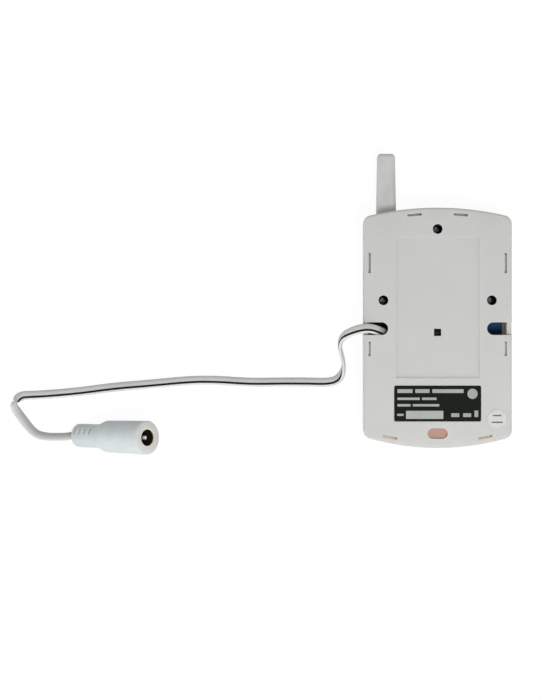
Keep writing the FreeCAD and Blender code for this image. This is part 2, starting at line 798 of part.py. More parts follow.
def build_front_cover():
    """The moulded front shell: walls, bosses, pegs, catches, collar, inlet and antenna hole."""
    body = new_body("front_cover")
    shell = new_sketch(body, "shell_outline")
    draw_outline(shell, 0)
    blank = add_pad(body, shell, SEAM)
    rim = [i for i, face in enumerate(blank.Shape.Faces, start=1) if at_level(face, SEAM)]
    add_taper(body, "shell_sides", blank, (blank, [f"Face{rim[0]}"]), S.shell_taper, downward=True)
    round_edges(body, "shell_corners", S.corner_round, lambda edge: edge.BoundBox.ZLength > 1)
    round_edges(body, "shell_front_edge", S.front_round, lambda edge: at_level(edge, 0))
    cavity = new_sketch(body, "shell_cavity", SEAM)
    draw_outline(cavity, S.wall)
    cut_pocket(body, cavity, SEAM - S.front_thickness)
    round_edges(body, "cavity_corners", S.corner_round - S.wall,
                lambda edge: at_corner(edge, HALF_WIDTH - S.wall))

    catches = []
    catch_top = SEAM - S.beam_length + S.barb_height + S.catch_gap
    for name, (frame, corners) in CATCHES.items():
        drawn = new_sketch(body, name, catch_top, **frame)
        draw_rectangle(drawn, *corners)
        catches.append(add_pad(body, drawn, S.catch_height))
    mirror(body, "other_catches", catches)

    bosses = new_sketch(body, "screw_bosses", S.front_thickness)
    draw_screw_circles(bosses, S.boss_radius)
    for side in (-1, 1):
        draw_circle(bosses, PEG_X * side, PEG_Y, S.post_radius)
    add_pad(body, bosses, S.boss_height)
    pegs = new_sketch(body, "board_pegs", BOARD_LOW)
    for side in (-1, 1):
        draw_circle(pegs, PEG_X * side, PEG_Y, S.peg_radius)
    add_pad(body, pegs, S.peg_height)
    pilots = new_sketch(body, "pilot_bores", BOARD_LOW)
    draw_screw_circles(pilots, S.screw_shank_radius + S.screw_bore_gap)
    cut_pocket(body, pilots, S.pilot_depth)

    collar = new_sketch(body, "mic_collar", S.front_thickness)
    collar_bore = S.mic_radius + S.boot_wall + S.boot_gap
    draw_circle(collar, 0, S.mic_y, collar_bore)
    draw_circle(collar, 0, S.mic_y, collar_bore + S.collar_wall)
    add_pad(body, collar, S.collar_height)
    inlet = new_sketch(body, "sound_inlet", S.front_thickness)
    draw_circle(inlet, 0, S.mic_y, S.inlet_hole_radius)
    for step in range(INLET_HOLES):
        angle = math.tau * step / INLET_HOLES
        draw_circle(inlet, S.inlet_circle * round(math.cos(angle), 6),
                    S.mic_y + S.inlet_circle * round(math.sin(angle), 6), S.inlet_hole_radius)
    cut_pocket(body, inlet, S.front_thickness)
    window = new_sketch(body, "lamp_window", S.front_thickness)
    reach = (S.window_length - S.window_width) / 2
    draw_obround(window, -reach, reach, S.window_y, S.window_width / 2)
    cut_pocket(body, window, S.front_thickness)

    seat = new_sketch(body, "antenna_seat", S.front_thickness)
    half = S.flange_width / 2 + S.seat_margin
    seat_y = FLANGE_Y + S.flange_thickness
    draw_seat(seat, ANTENNA_X - half, ANTENNA_X + half, seat_y, S.top_arc - S.wall / 2)
    add_pad(body, seat, ANTENNA_Z + S.flange_height / 2 - S.front_thickness)
    hole = new_sketch(body, "antenna_hole", -HALF_HEIGHT, role="XZ_Plane")
    half = S.antenna_base_width / 2 + S.antenna_hole_gap
    rise = S.antenna_base_depth / 2 + S.antenna_hole_gap
    draw_rectangle(hole, ANTENNA_X - half, ANTENNA_Z - rise, ANTENNA_X + half, ANTENNA_Z + rise)
    cut_pocket(body, hole, HALF_HEIGHT - seat_y, upward=True)


def build_circuit_board():
    """The board that the screw tubes clamp, cut back beside the antenna's flange."""
    body = new_body("circuit_board")
    board = new_sketch(body, "board_outline", BOARD_LOW)
    draw_outline(board, S.wall + S.board_gap)
    add_pad(body, board, S.board_thickness)
    round_edges(body, "board_corners", S.board_round,
                lambda edge: at_corner(edge, HALF_WIDTH - S.wall - S.board_gap))
    holes = new_sketch(body, "board_holes", BOARD_TOP)
    draw_screw_circles(holes, S.board_hole_radius)
    for side in (-1, 1):
        draw_circle(holes, PEG_X * side, PEG_Y, S.peg_radius + S.peg_gap)
    cut_pocket(body, holes, S.board_thickness)
    corner = new_sketch(body, "antenna_corner", BOARD_TOP)
    edge_x = ANTENNA_X + S.flange_width / 2 + S.seat_margin + S.board_gap / 2
    draw_rectangle(corner, -HALF_WIDTH, FLANGE_Y - S.flange_gap, edge_x, HALF_HEIGHT)
    cut_pocket(body, corner, S.board_thickness)


def build_screws():
    """Three self-tapping case screws with a cross in each head."""
    screws = []
    for number, (x, y) in enumerate(SCREWS, start=1):
        head = rod(f"screw_head_{number}", (x, y, SEAT_Z), S.screw_head_radius, S.screw_head_height)
        bevelled = doc.addObject("Part::Chamfer", f"screw_bevel_{number}")
        bevelled.Base = head
        doc.recompute()
        top = SEAT_Z + S.screw_head_height
        edge = [i for i, e in enumerate(head.Shape.Edges, start=1) if at_level(e, top)][0]
        bevelled.Edges = [(edge, plain(S.screw_bevel), plain(S.screw_bevel))]
        shank = rod(f"screw_shank_{number}", (x, y, SEAT_Z - S.screw_shank_length),
                    S.screw_shank_radius, S.screw_shank_length)
        whole = fuse(f"screw_body_{number}", [bevelled, shank])
        arm = S.cross_reach
        half = S.cross_width / 2
        floor = top - S.cross_depth
        bars = []
        for turn, (wide, deep) in enumerate(((arm, half), (half, arm))):
            bars.append(block(f"screw_slot_{number}_{turn}", (x - wide, y - deep, floor),
                              (x + wide, y + deep, top)))
        screws.append(cut(f"screw_{number}", whole, fuse(f"screw_cross_{number}", bars)))
    group = doc.addObject("Part::Compound", "cover_screws")
    group.Links = screws
    keep("cover_screws", group)


def draw_round_rectangle(sketch, half_x, half_y, radius):
    """A rectangle with round corners about the sketch's origin."""
    a, b, r = plain(half_x), plain(half_y), plain(radius)
    lower = add_line(sketch, (-a + r, -b), (a - r, -b))
    right = add_line(sketch, (a, -b + r), (a, b - r))
    upper = add_line(sketch, (a - r, b), (-a + r, b))
    left = add_line(sketch, (-a, b - r), (-a, -b + r))
    quarter = math.pi / 2
    corners = [
        add_arc(sketch, (a - r, -b + r), r, -quarter, 0),
        add_arc(sketch, (a - r, b - r), r, 0, quarter),
        add_arc(sketch, (-a + r, b - r), r, quarter, 2 * quarter),
        add_arc(sketch, (-a + r, -b + r), r, 2 * quarter, 3 * quarter),
    ]
    sides = (lower, right, upper, left)
    for i, corner in enumerate(corners):
        sketch.addConstraint(Sketcher.Constraint("Tangent", sides[i], 2, corner, 1))
        sketch.addConstraint(Sketcher.Constraint("Tangent", corner, 2, sides[(i + 1) % 4], 1))
    for corner in corners[1:]:
        sketch.addConstraint(Sketcher.Constraint("Equal", corners[0], corner))
    fix_radius(sketch, corners[0], radius)
    fix_point(sketch, corners[1], 3, half_x - radius, half_y - radius)
    fix_point(sketch, corners[3], 3, radius - half_x, radius - half_y)


def build_antenna():
    """The hollow tapered sleeve with its inner flange, and the wire inside it."""
    body = new_body("antenna_sleeve")
    reach = ANTENNA_TIP - FLANGE_Y
    base = new_sketch(body, "sleeve_base")
    half = S.antenna_base_width / 2
    rise = S.antenna_base_depth / 2
    draw_rectangle(base, -half, -rise, half, rise)
    stub = add_pad(body, base, reach)
    ground = [plane for plane in body.Origin.OriginFeatures if plane.Role == "XY_Plane"]
    lean = slope_angle((S.antenna_base_width - S.antenna_tip_width) / 2, reach)
    add_taper(body, "sleeve_sides", stub, (ground[0], [""]), lean)
    round_edges(body, "sleeve_long_edges", S.antenna_round, lambda edge: edge.BoundBox.ZLength > 1)
    round_edges(body, "sleeve_tip_edge", S.antenna_tip_round, lambda edge: at_level(edge, reach))
    flange = new_sketch(body, "sleeve_flange")
    draw_round_rectangle(flange, S.flange_width / 2, S.flange_height / 2, S.antenna_round / 2)
    add_pad(body, flange, S.flange_thickness)
    bore = new_sketch(body, "sleeve_bore")
    draw_circle(bore, 0, 0, S.antenna_bore_radius)
    cut_pocket(body, bore, reach - S.antenna_tip_wall, upward=True)
    body.Placement = Placement(Vector(0, 0, 0), Rotation(Vector(1, 0, 0), -90))
    bind_base(body, "Placement", (ANTENNA_X, FLANGE_Y, ANTENNA_Z))

    wire_start = FLANGE_Y - S.wire_solder_length
    wire_length = ANTENNA_TIP - S.antenna_tip_wall - S.wire_tip_gap - wire_start
    keep("antenna_wire", rod("antenna_wire", (ANTENNA_X, wire_start, ANTENNA_Z), S.wire_radius,
                             wire_length, "Y"))


def build_sound_parts():
    """Gauze, rubber boot and microphone, stacked behind the sound inlet."""
    floor = S.front_thickness
    keep("sound_gauze", rod("sound_gauze", (0, S.mic_y, floor), S.gauze_radius, S.gauze_thickness))
    boot_foot = floor + S.gauze_thickness
    boot_radius = S.mic_radius + S.boot_wall
    mic_foot = boot_foot + S.boot_lip
    outside = rod("boot_outside", (0, S.mic_y, boot_foot), boot_radius, S.boot_height)
    inside = rod("boot_inside", (0, S.mic_y, mic_foot), S.mic_radius, S.boot_height)
    port = rod("boot_port", (0, S.mic_y, boot_foot), S.boot_port_radius, S.boot_height)
    keep("microphone_boot", cut("microphone_boot", outside, fuse("boot_hollow", [inside, port])))

    can = rod("mic_can", (0, S.mic_y, mic_foot), S.mic_radius, S.mic_height)
    port = rod("mic_port", (0, S.mic_y, mic_foot), S.mic_port_radius, S.mic_port_depth)
    pins = []
    for side in (-1, 1):
        foot = (S.mic_pin_pitch / 2 * side, S.mic_y, mic_foot + S.mic_height)
        pins.append(rod(f"mic_pin_{side + 1}", foot, S.mic_pin_radius, BOARD_LOW - mic_foot - S.mic_height))
    keep("microphone", fuse("microphone", [cut("mic_can_open", can, port)] + pins))


def build_indicators():
    """The clear window of the front cover and the two lamps behind it."""
    body = new_body("indicator_window")
    plug = new_sketch(body, "window_plug")
    reach = (S.window_length - S.window_width) / 2
    radius = S.window_width / 2
    draw_obround(plug, -reach, reach, S.window_y, radius - S.window_gap)
    add_pad(body, plug, S.front_thickness)
    rim = new_sketch(body, "window_rim", S.front_thickness)
    draw_obround(rim, -reach, reach, S.window_y, radius + S.window_flange)
    add_pad(body, rim, S.window_flange_thickness)

    tip_z = S.front_thickness + S.window_flange_thickness + S.lamp_air
    for name, side in (("power_lamp", -1), ("alarm_lamp", 1)):
        x = S.lamp_pitch / 2 * side
        dome = doc.addObject("Part::Sphere", f"{name}_dome")
        bind(dome, "Radius", S.lamp_radius)
        bind_base(dome, "Placement", (x, S.window_y, tip_z + S.lamp_radius))
        barrel = rod(f"{name}_barrel", (x, S.window_y, tip_z + S.lamp_radius), S.lamp_radius,
                     S.lamp_length - S.lamp_radius)
        rim_z = tip_z + S.lamp_length - S.lamp_rim_height
        rim = rod(f"{name}_rim", (x, S.window_y, rim_z), S.lamp_rim_radius, S.lamp_rim_height)
        leads = []
        half = S.lamp_lead / 2
        for row in (-1, 1):
            y = S.window_y + S.lamp_lead_pitch / 2 * row
            leads.append(block(f"{name}_lead_{row + 1}", (x - half, y - half, tip_z + S.lamp_length),
                               (x + half, y + half, BOARD_LOW)))
        keep(name, fuse(name, [dome, barrel, rim] + leads))


def build_tamper_switch():
    """The push switch under the square hole, and its stem."""
    half = S.switch_side / 2
    top = BOARD_TOP + S.switch_height
    housing = block("switch_housing", (-half, S.tamper_y - half, BOARD_TOP), (half, S.tamper_y + half, top))
    well_radius = S.stem_radius + S.stem_gap
    well_depth = S.stem_depth + S.stem_travel + S.stem_stop
    well = rod("switch_well", (0, S.tamper_y, top - well_depth), well_radius, well_depth)
    cap_half = half - S.switch_cap
    cap = block("switch_plate", (-cap_half, S.tamper_y - cap_half, top),
                (cap_half, S.tamper_y + cap_half, top + S.switch_cap))
    hole = rod("switch_plate_hole", (0, S.tamper_y, top), well_radius, S.switch_cap)
    keep("tamper_switch", cut("tamper_switch", housing, well))
    keep("switch_cover_plate", cut("switch_cover_plate", cap, hole))
    stem_foot = top - S.stem_depth
    keep("tamper_stem", rod("tamper_stem", (0, S.tamper_y, stem_foot), S.stem_radius,
                            BOARD_TOP + S.stem_top - stem_foot))


def build_power_connector():
    """The two-pin header on the board and the plug that the lead is crimped to."""
    half = S.header_width / 2
    top = BOARD_TOP + S.header_height
    back = S.header_x + S.header_length
    shell = block("header_shell", (S.header_x, S.header_y - half, BOARD_TOP), (back, S.header_y + half, top))
    inner = half - S.header_wall
    hollow = block("header_hollow", (S.header_x, S.header_y - inner, BOARD_TOP + S.header_wall),
                   (back - S.header_back, S.header_y + inner, top - S.header_wall))
    middle = BOARD_TOP + S.header_height / 2
    pins = []
    slots = []
    grip = S.pin_side / 2
    for side in (-1, 1):
        y = S.header_y + S.pin_pitch / 2 * side
        wall_x = back - S.header_back
        pins.append(block(f"header_pin_{side + 1}", (wall_x - S.pin_length, y - grip, middle - grip),
                          (wall_x, y + grip, middle + grip)))
        wide = grip + S.pin_gap
        slots.append(block(f"plug_slot_{side + 1}",
                           (wall_x - S.pin_length - S.pin_tip_gap, y - wide, middle - wide),
                           (wall_x, y + wide, middle + wide)))
    keep("power_header", fuse("power_header", [cut("header_open", shell, hollow)] + pins))
    gap = S.plug_gap
    wide = inner - gap
    housing = block("plug_housing",
                    (S.header_x - S.plug_outside, S.header_y - wide, BOARD_TOP + S.header_wall + gap),
                    (back - S.header_back - gap, S.header_y + wide, top - S.header_wall - gap))
    keep("power_plug", cut("power_plug", housing, fuse("plug_slots", slots)))


def build_radio():
    """The radio board on its pin strip, with its resonator can and chip."""
    half = S.radio_width / 2
    rise = S.radio_height / 2
    low_y = S.radio_y - rise
    level = BOARD_TOP + S.strip_height
    keep("radio_pin_strip", block("radio_pin_strip", (S.radio_x - half, low_y, BOARD_TOP),
                                  (S.radio_x + half, low_y + S.strip_width, level)))
    keep("radio_board", block("radio_board", (S.radio_x - half, low_y, level),
                              (S.radio_x + half, S.radio_y + rise, level + S.radio_thickness)))
    top = level + S.radio_thickness
    can_x = S.radio_x - half + S.resonator_radius + S.resonator_margin
    can_y = S.radio_y + rise - S.resonator_radius - S.resonator_margin
    can = rod("resonator_body", (can_x, can_y, top), S.resonator_radius - S.resonator_rim, S.resonator_height)
    rim = rod("resonator_foot", (can_x, can_y, top), S.resonator_radius, S.resonator_rim)
    keep("radio_resonator", fuse("radio_resonator", [can, rim]))


def build_chip(name, foot, body_size, leg_rows):
    """A moulded chip with flat legs along two sides; foot is the middle of its underside."""
    x, y, level = foot
    length, width, height = body_size
    bottom = level + S.chip_stand
    case = block(f"{name}_case", (x - width / 2, y - length / 2, bottom),
                 (x + width / 2, y + length / 2, bottom + height))
    pieces = [case]
    half = S.chip_leg_width / 2
    for leg in range(leg_rows):
        place = y + (leg - (leg_rows - 1) / 2) * S.chip_pitch
        for side, inner in ((-1, x - width / 2 - S.chip_leg_reach), (1, x + width / 2)):
            pieces.append(block(f"{name}_leg_{side + 1}_{leg}", (inner, place - half, level),
                                (inner + S.chip_leg_reach, place + half, level + S.chip_leg_rise)))
    keep(name, fuse(name, pieces))


def build_chips():
    """The processor, the amplifier beside the microphone and the chip of the radio board."""
    small = (S.small_chip_length, S.small_chip_width, S.small_chip_height)
    build_chip("processor_chip", (S.processor_x, S.processor_y, BOARD_TOP),
               (S.processor_length, S.processor_width, S.processor_height), leg_rows=7)
    build_chip("amplifier_chip", (S.amplifier_x, S.amplifier_y, BOARD_TOP), small, leg_rows=4)
    radio_level = BOARD_TOP + S.strip_height + S.radio_thickness
    build_chip("radio_chip", (S.radio_x + S.radio_chip_x, S.radio_y + S.radio_chip_y, radio_level),
               small, leg_rows=4)


def build_crystal():
    """The crystal's flat can, round at its corners."""
    half = S.crystal_width / 2
    rise = S.crystal_length / 2
    can = block("crystal_can", (S.crystal_x - half, S.crystal_y - rise, BOARD_TOP),
                (S.crystal_x + half, S.crystal_y + rise, BOARD_TOP + S.crystal_height))
    doc.recompute()
    rounded = doc.addObject("Part::Fillet", "crystal")
    rounded.Base = can
    uprights = [i for i, e in enumerate(can.Shape.Edges, start=1) if e.BoundBox.ZLength > 1]
    rounded.Edges = [(i, plain(S.crystal_round), plain(S.crystal_round)) for i in uprights]
    keep("crystal", rounded)


def build_capacitors():
    """Three electrolytic cans, each on its square foot."""
    level = BOARD_TOP + S.capacitor_base
    for name in ("input_capacitor", "output_capacitor", "audio_capacitor"):
        x, y, radius, height = (getattr(S, f"{name}_{part}") for part in ("x", "y", "radius", "height"))
        base = block(f"{name}_base", (x - radius, y - radius, BOARD_TOP), (x + radius, y + radius, level))
        can = rod(f"{name}_can", (x, y, level), radius - S.capacitor_inset, height - S.capacitor_base)
        keep(name, fuse(name, [base, can]))


def build_regulator():
    """The voltage regulator: case, cooling tab and three legs."""
    x, y = S.regulator_x, S.regulator_y
    half = S.regulator_width / 2
    low = BOARD_TOP + S.regulator_stand
    end = y + S.regulator_length
    case = block("regulator_case", (x - half, y, low), (x + half, end, low + S.regulator_height))
    tab_half = S.regulator_tab_width / 2
    tab = block("regulator_tab", (x - tab_half, end, BOARD_TOP),
                (x + tab_half, end + S.regulator_tab_length, BOARD_TOP + S.regulator_tab_thickness))
    pieces = [case, tab]
    leg_half = S.regulator_leg_width / 2
    for side in (-1, 0, 1):
        place = x + S.regulator_leg_pitch * side
        pieces.append(block(f"regulator_leg_{side + 1}",
                            (place - leg_half, y - S.regulator_leg_length, BOARD_TOP),
                            (place + leg_half, y, BOARD_TOP + S.regulator_leg_height)))
    keep("voltage_regulator", fuse("voltage_regulator", pieces))


def build_diode():
    """The input diode lying on its bent wires."""
    x, y = S.diode_x, S.diode_y
    level = BOARD_TOP + S.diode_radius
    tube = rod("diode_tube", (x, y - S.diode_length / 2, level), S.diode_radius, S.diode_length, "Y")
    reach = S.diode_wire_length / 2
    pieces = [tube, rod("diode_wires", (x, y - reach, level), S.diode_wire_radius,
                        S.diode_wire_length, "Y")]
    for side in (-1, 1):
        foot = (x, y + (reach - S.diode_wire_radius) * side, BOARD_TOP)
        pieces.append(rod(f"diode_foot_{side + 1}", foot, S.diode_wire_radius, S.diode_radius))
    keep("input_diode", fuse("input_diode", pieces))


def build_labels():
    """The black rating plate in its shallow seat and the round sticker, both blank."""
    body = new_body("rating_label")
    drawn = new_sketch(body, "label_shape")
    draw_round_rectangle(drawn, S.label_width / 2, S.label_height / 2, S.label_round)
    add_pad(body, drawn, S.label_thickness)
    bind_base(body, "Placement", (0, LABEL_Y, S.body_depth - S.label_thickness))
    keep("round_sticker", rod("round_sticker", (STICKER_X, STICKER_Y, S.body_depth),
                              S.sticker_radius, S.sticker_thickness))


def draw_profile(sketch, points):
    """A closed profile of straight sides, each corner tied to its radius and its height."""
    numbers = [(plain(r), plain(z)) for r, z in points]
    count = len(points)
    lines = [add_line(sketch, numbers[i], numbers[(i + 1) % count]) for i in range(count)]
    for i in range(count):
        sketch.addConstraint(Sketcher.Constraint("Coincident", lines[i], 2, lines[(i + 1) % count], 1))
        fix_point(sketch, lines[i], 1, *points[i])


def revolve(body, name, points):
    """A turned shape: the profile swept round the body's own Z axis."""
    sketch = new_sketch(body, f"{name}_profile", role="XZ_Plane")
    draw_profile(sketch, points)
    item = body.newObject("PartDesign::Revolution", name)
    item.Profile = sketch
    item.ReferenceAxis = (sketch, ["V_Axis"])
    item.Angle = 360
    doc.recompute()
    return item


def socket_frame():
    """Where the socket's rear centre lies: it leans on the bevel of its rear rim."""
    tilt = math.radians(plain(S.socket_tilt))
    radius = plain(S.socket_neck_radius)
    bevel = plain(S.socket_rear_bevel)
    height = radius * math.cos(tilt) - bevel * min(math.sin(tilt), math.cos(tilt))
    return Vector(SOCKET_X, SOCKET_Y, height)


def place_socket(body):
    """Moves a socket piece, made along Z, to its leaning place."""
    body.Placement = Placement(socket_frame(), Rotation(Vector(0, 1, 0), 90 - plain(S.socket_tilt)))
    bind(body, "Placement.Rotation.Angle", 90 - S.socket_tilt)


def build_socket():
    """The in-line power socket: moulded body, contact tube, black liner and centre pin."""
    end = S.socket_length
    floor = end - S.contact_depth
    body = new_body("socket_body")
    revolve(body, "socket_form", [
        (0, 0), (S.socket_neck_radius - S.socket_rear_bevel, 0),
        (S.socket_neck_radius, S.socket_rear_bevel), (S.socket_neck_radius, S.socket_neck),
        (S.socket_shoulder_radius, S.socket_shoulder),
        (S.socket_face_radius, end - S.socket_face_bevel),
        (S.socket_face_radius - S.socket_face_bevel, end),
        (S.contact_radius, end), (S.contact_radius, floor), (0, floor)])
    for number in range(GROOVE_ROWS):
        level = S.groove_first + S.groove_pitch * number
        for side in (-1, 1):
            drawn = new_sketch(body, f"groove_{number}_{side + 1}", level - S.groove_width / 2,
                               turn=S.groove_roll)
            near = S.socket_neck_radius - S.groove_depth
            far = S.socket_face_radius
            low, high = (near, far) if side > 0 else (-far, -near)
            draw_rectangle(drawn, -S.groove_length / 2, low, S.groove_length / 2, high)
            cut_pocket(body, drawn, S.groove_width, upward=True)
    place_socket(body)

    contact = new_body("socket_contact")
    inner = S.contact_radius - S.contact_wall
    revolve(contact, "contact_form", [
        (inner, floor), (S.contact_radius, floor), (S.contact_radius, end - S.contact_inset),
        (inner, end - S.contact_inset)])
    place_socket(contact)

    liner = new_body("socket_liner")
    bore = inner - S.liner_wall
    pin = S.centre_pin_radius
    base = floor + S.liner_floor
    revolve(liner, "liner_form", [
        (pin, floor), (inner, floor), (inner, end - S.liner_inset), (bore, end - S.liner_inset),
        (bore, base), (pin, base)])
    place_socket(liner)

    centre = new_body("socket_pin")
    tip = end - S.centre_pin_inset
    revolve(centre, "pin_form", [
        (0, floor), (pin, floor), (pin, tip - S.pin_tip_length), (S.pin_tip_radius, tip), (0, tip)])
    place_socket(centre)


def lead_path(points):
    """Straight runs joined by tangent arcs: each arc's radius is 0.45 of the shorter run
    divided by the tangent of half the turn."""
    edges = []
    start = points[0]
    radii = []
    for before, corner, after in zip(points, points[1:], points[2:]):
        inward = (corner - before).normalize()
        outward = (after - corner).normalize()
        turn = inward.getAngle(outward)
        shorter = min((corner - before).Length, (after - corner).Length)
        reach = 0.45 * shorter
        radius = reach / math.tan(turn / 2)
        radii.append(radius)
        first = corner - inward * reach
        last = corner + outward * reach
        bisector = (outward - inward).normalize()
        middle = corner + bisector * (radius / math.cos(turn / 2) - radius)
        edges.append(Part.LineSegment(start, first).toShape())
        edges.append(Part.Arc(first, middle, last).toShape())
        start = last
    edges.append(Part.LineSegment(start, points[-1]).toShape())
    return Part.Wire(edges), radii


def build_lead():
    """The power lead's plain tube, from the plug to the rear of the socket."""
    plug_end = Vector(plain(S.header_x - S.plug_outside), plain(S.header_y),
                      plain(BOARD_TOP + S.header_height / 2))
    rear = socket_frame()
    tilt = math.radians(plain(S.socket_tilt))
    axis = Vector(math.cos(tilt), 0, math.sin(tilt))
    lead_radius = plain(S.lead_diameter) / 2
    last_run = (rear.z - lead_radius) / math.sin(tilt)
    points = [plug_end] + [Vector(*point) for point in LEAD_ROUTE] + [rear - axis * last_run, rear]
    wire, radii = lead_path(points)
    section = Part.Wire(Part.Circle(points[0], points[1] - points[0], lead_radius).toShape())
    tube = wire.makePipeShell([section], True, False)
    if not tube.isValid() or tube.Volume < 0:
        tube = tube.reversed()
    expected = math.pi * lead_radius ** 2 * wire.Length
    print("lead length", round(wire.Length, 2))
    print("lead volume", round(tube.Volume, 2), "expected", round(expected, 2))
    print("lead radii", [round(radius, 1) for radius in radii])
    item = doc.addObject("Part::Feature", "power_lead")
    item.Shape = tube
    keep("power_lead", item)


build_front_cover()
build_rear_cover()
build_circuit_board()
build_screws()
build_antenna()
build_sound_parts()
build_indicators()
build_tamper_switch()
build_power_connector()
build_radio()
build_chips()
build_crystal()
build_capacitors()
build_regulator()
build_diode()
build_labels()
build_socket()
build_lead()
doc.recompute()

for item in doc.Objects:
    if "Invalid" in item.State or "Error" in item.State:
        raise RuntimeError(f"{item.Name} failed: {item.State}")
os.makedirs("parts", exist_ok=True)
for name, item in nodes.items():
    shape = item.Shape
    if shape.isNull() or not shape.isValid() or not shape.Solids:
        raise RuntimeError(f"{name} has no sound solid")
    shape.exportStep(f"parts/{name}.step")
print(len(nodes), "sub-parts written")
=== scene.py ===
"""Finish, lead, label and stage of a glass break sensor that lies on its front face."""

import math

import bpy
import numpy as np
from bpy.props import FloatProperty, FloatVectorProperty, PointerProperty
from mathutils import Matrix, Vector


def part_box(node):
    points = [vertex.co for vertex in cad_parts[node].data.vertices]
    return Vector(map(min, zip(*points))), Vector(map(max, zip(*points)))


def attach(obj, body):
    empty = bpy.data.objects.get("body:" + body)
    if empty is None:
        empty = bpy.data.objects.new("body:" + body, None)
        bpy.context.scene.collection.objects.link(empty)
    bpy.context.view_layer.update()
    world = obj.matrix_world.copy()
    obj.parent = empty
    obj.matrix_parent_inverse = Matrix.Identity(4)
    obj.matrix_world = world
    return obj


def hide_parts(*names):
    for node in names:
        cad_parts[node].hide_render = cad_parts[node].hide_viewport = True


bl_info = {
    "name": "Glass break sensor finish",
    "version": (1, 0, 0),
    "blender": (4, 5, 0),
    "location": "View3D > Sidebar > Sensor",
    "description": "Dresses the packed sensor with its finishes, flat lead, rating plate and stage",
    "category": "Object",
}

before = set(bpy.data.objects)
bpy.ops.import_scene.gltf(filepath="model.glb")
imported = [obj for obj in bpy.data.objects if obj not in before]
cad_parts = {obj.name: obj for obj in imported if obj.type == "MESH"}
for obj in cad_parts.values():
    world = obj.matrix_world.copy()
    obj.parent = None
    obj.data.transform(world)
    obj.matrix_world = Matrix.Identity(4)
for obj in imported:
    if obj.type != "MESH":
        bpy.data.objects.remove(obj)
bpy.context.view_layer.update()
MM = 0.001
HOUSING = "housing"
BACK_LOW, BACK_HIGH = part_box("rear_cover")
BACK_FACE = BACK_HIGH.z
PLUG_LOW, PLUG_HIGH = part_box("power_plug")

# The case outline's two shallow arcs and the wall's thickness inside it
TOP_ARC = 0.110
BOTTOM_ARC = 0.093
WALL = 0.0018

# The oval pocket's middle and half size, and the side notches' middle and half height
POCKET = (0.0, -0.0391)
POCKET_HALF = (0.0038, 0.0020)
NOTCH_Y = -0.0003
NOTCH_HALF = 2.6 * MM

# The screw bores: the top one's Y, the side ones' Y and X, and their radius
TOP_SCREW = 0.0366
SIDE_SCREW = (0.0102, 0.02005)
BORE_RADIUS = 0.0019

# How far below the back each painted tint of the case reaches and where it ends or fades: the
# painted warm light of the room inside, the hook slots, the oval pocket's floor and the painted
# shadow below the bores' mouths
ROOM_DEPTH = (3.2 * MM, 1.8 * MM)
SLOT_DEPTH = (6.0 * MM, 0.25 * MM)
POCKET_DEPTH = (1.6 * MM, 0.5 * MM)
MOUTH_DEPTH = (0.5 * MM, 0.1 * MM)

# Heights over which the front shell's floor takes the painted warm light of the room inside, and
# the band along the outline, counted inwards from it, that the hook slots lie in
FLOOR_FADE = (0.9 * MM, 1.9 * MM)
SLOT_BAND = (WALL - 0.05 * MM, WALL + 1.1 * MM)
# Colour of the painted glow that stands for light seeping through the case's thin walls
SEEP_COLOUR = (1.0, 0.84, 0.72, 1.0)

# The Y of the painted highlight line across the button's top and its half width, the X range over
# which painted shade darkens the board's lacquer towards its edge, and the gauze's waves in radians
# to a metre
HIGHLIGHT_LINE = -0.00203
HIGHLIGHT_HALF = 0.2 * MM
SHADED_EDGE = (-17.6 * MM, -17.0 * MM)
GAUZE_WAVES = 21000.0

# The socket's lean from level in degrees, and its end face's middle in X and Z
SOCKET_LEAN = 44.0
SOCKET_FACE = (-0.107065, 0.029042)

# Height of the flat lead's middle where it lies flat, and where it stands on edge in its fold
FLAT = 0.8
EDGE = 1.7

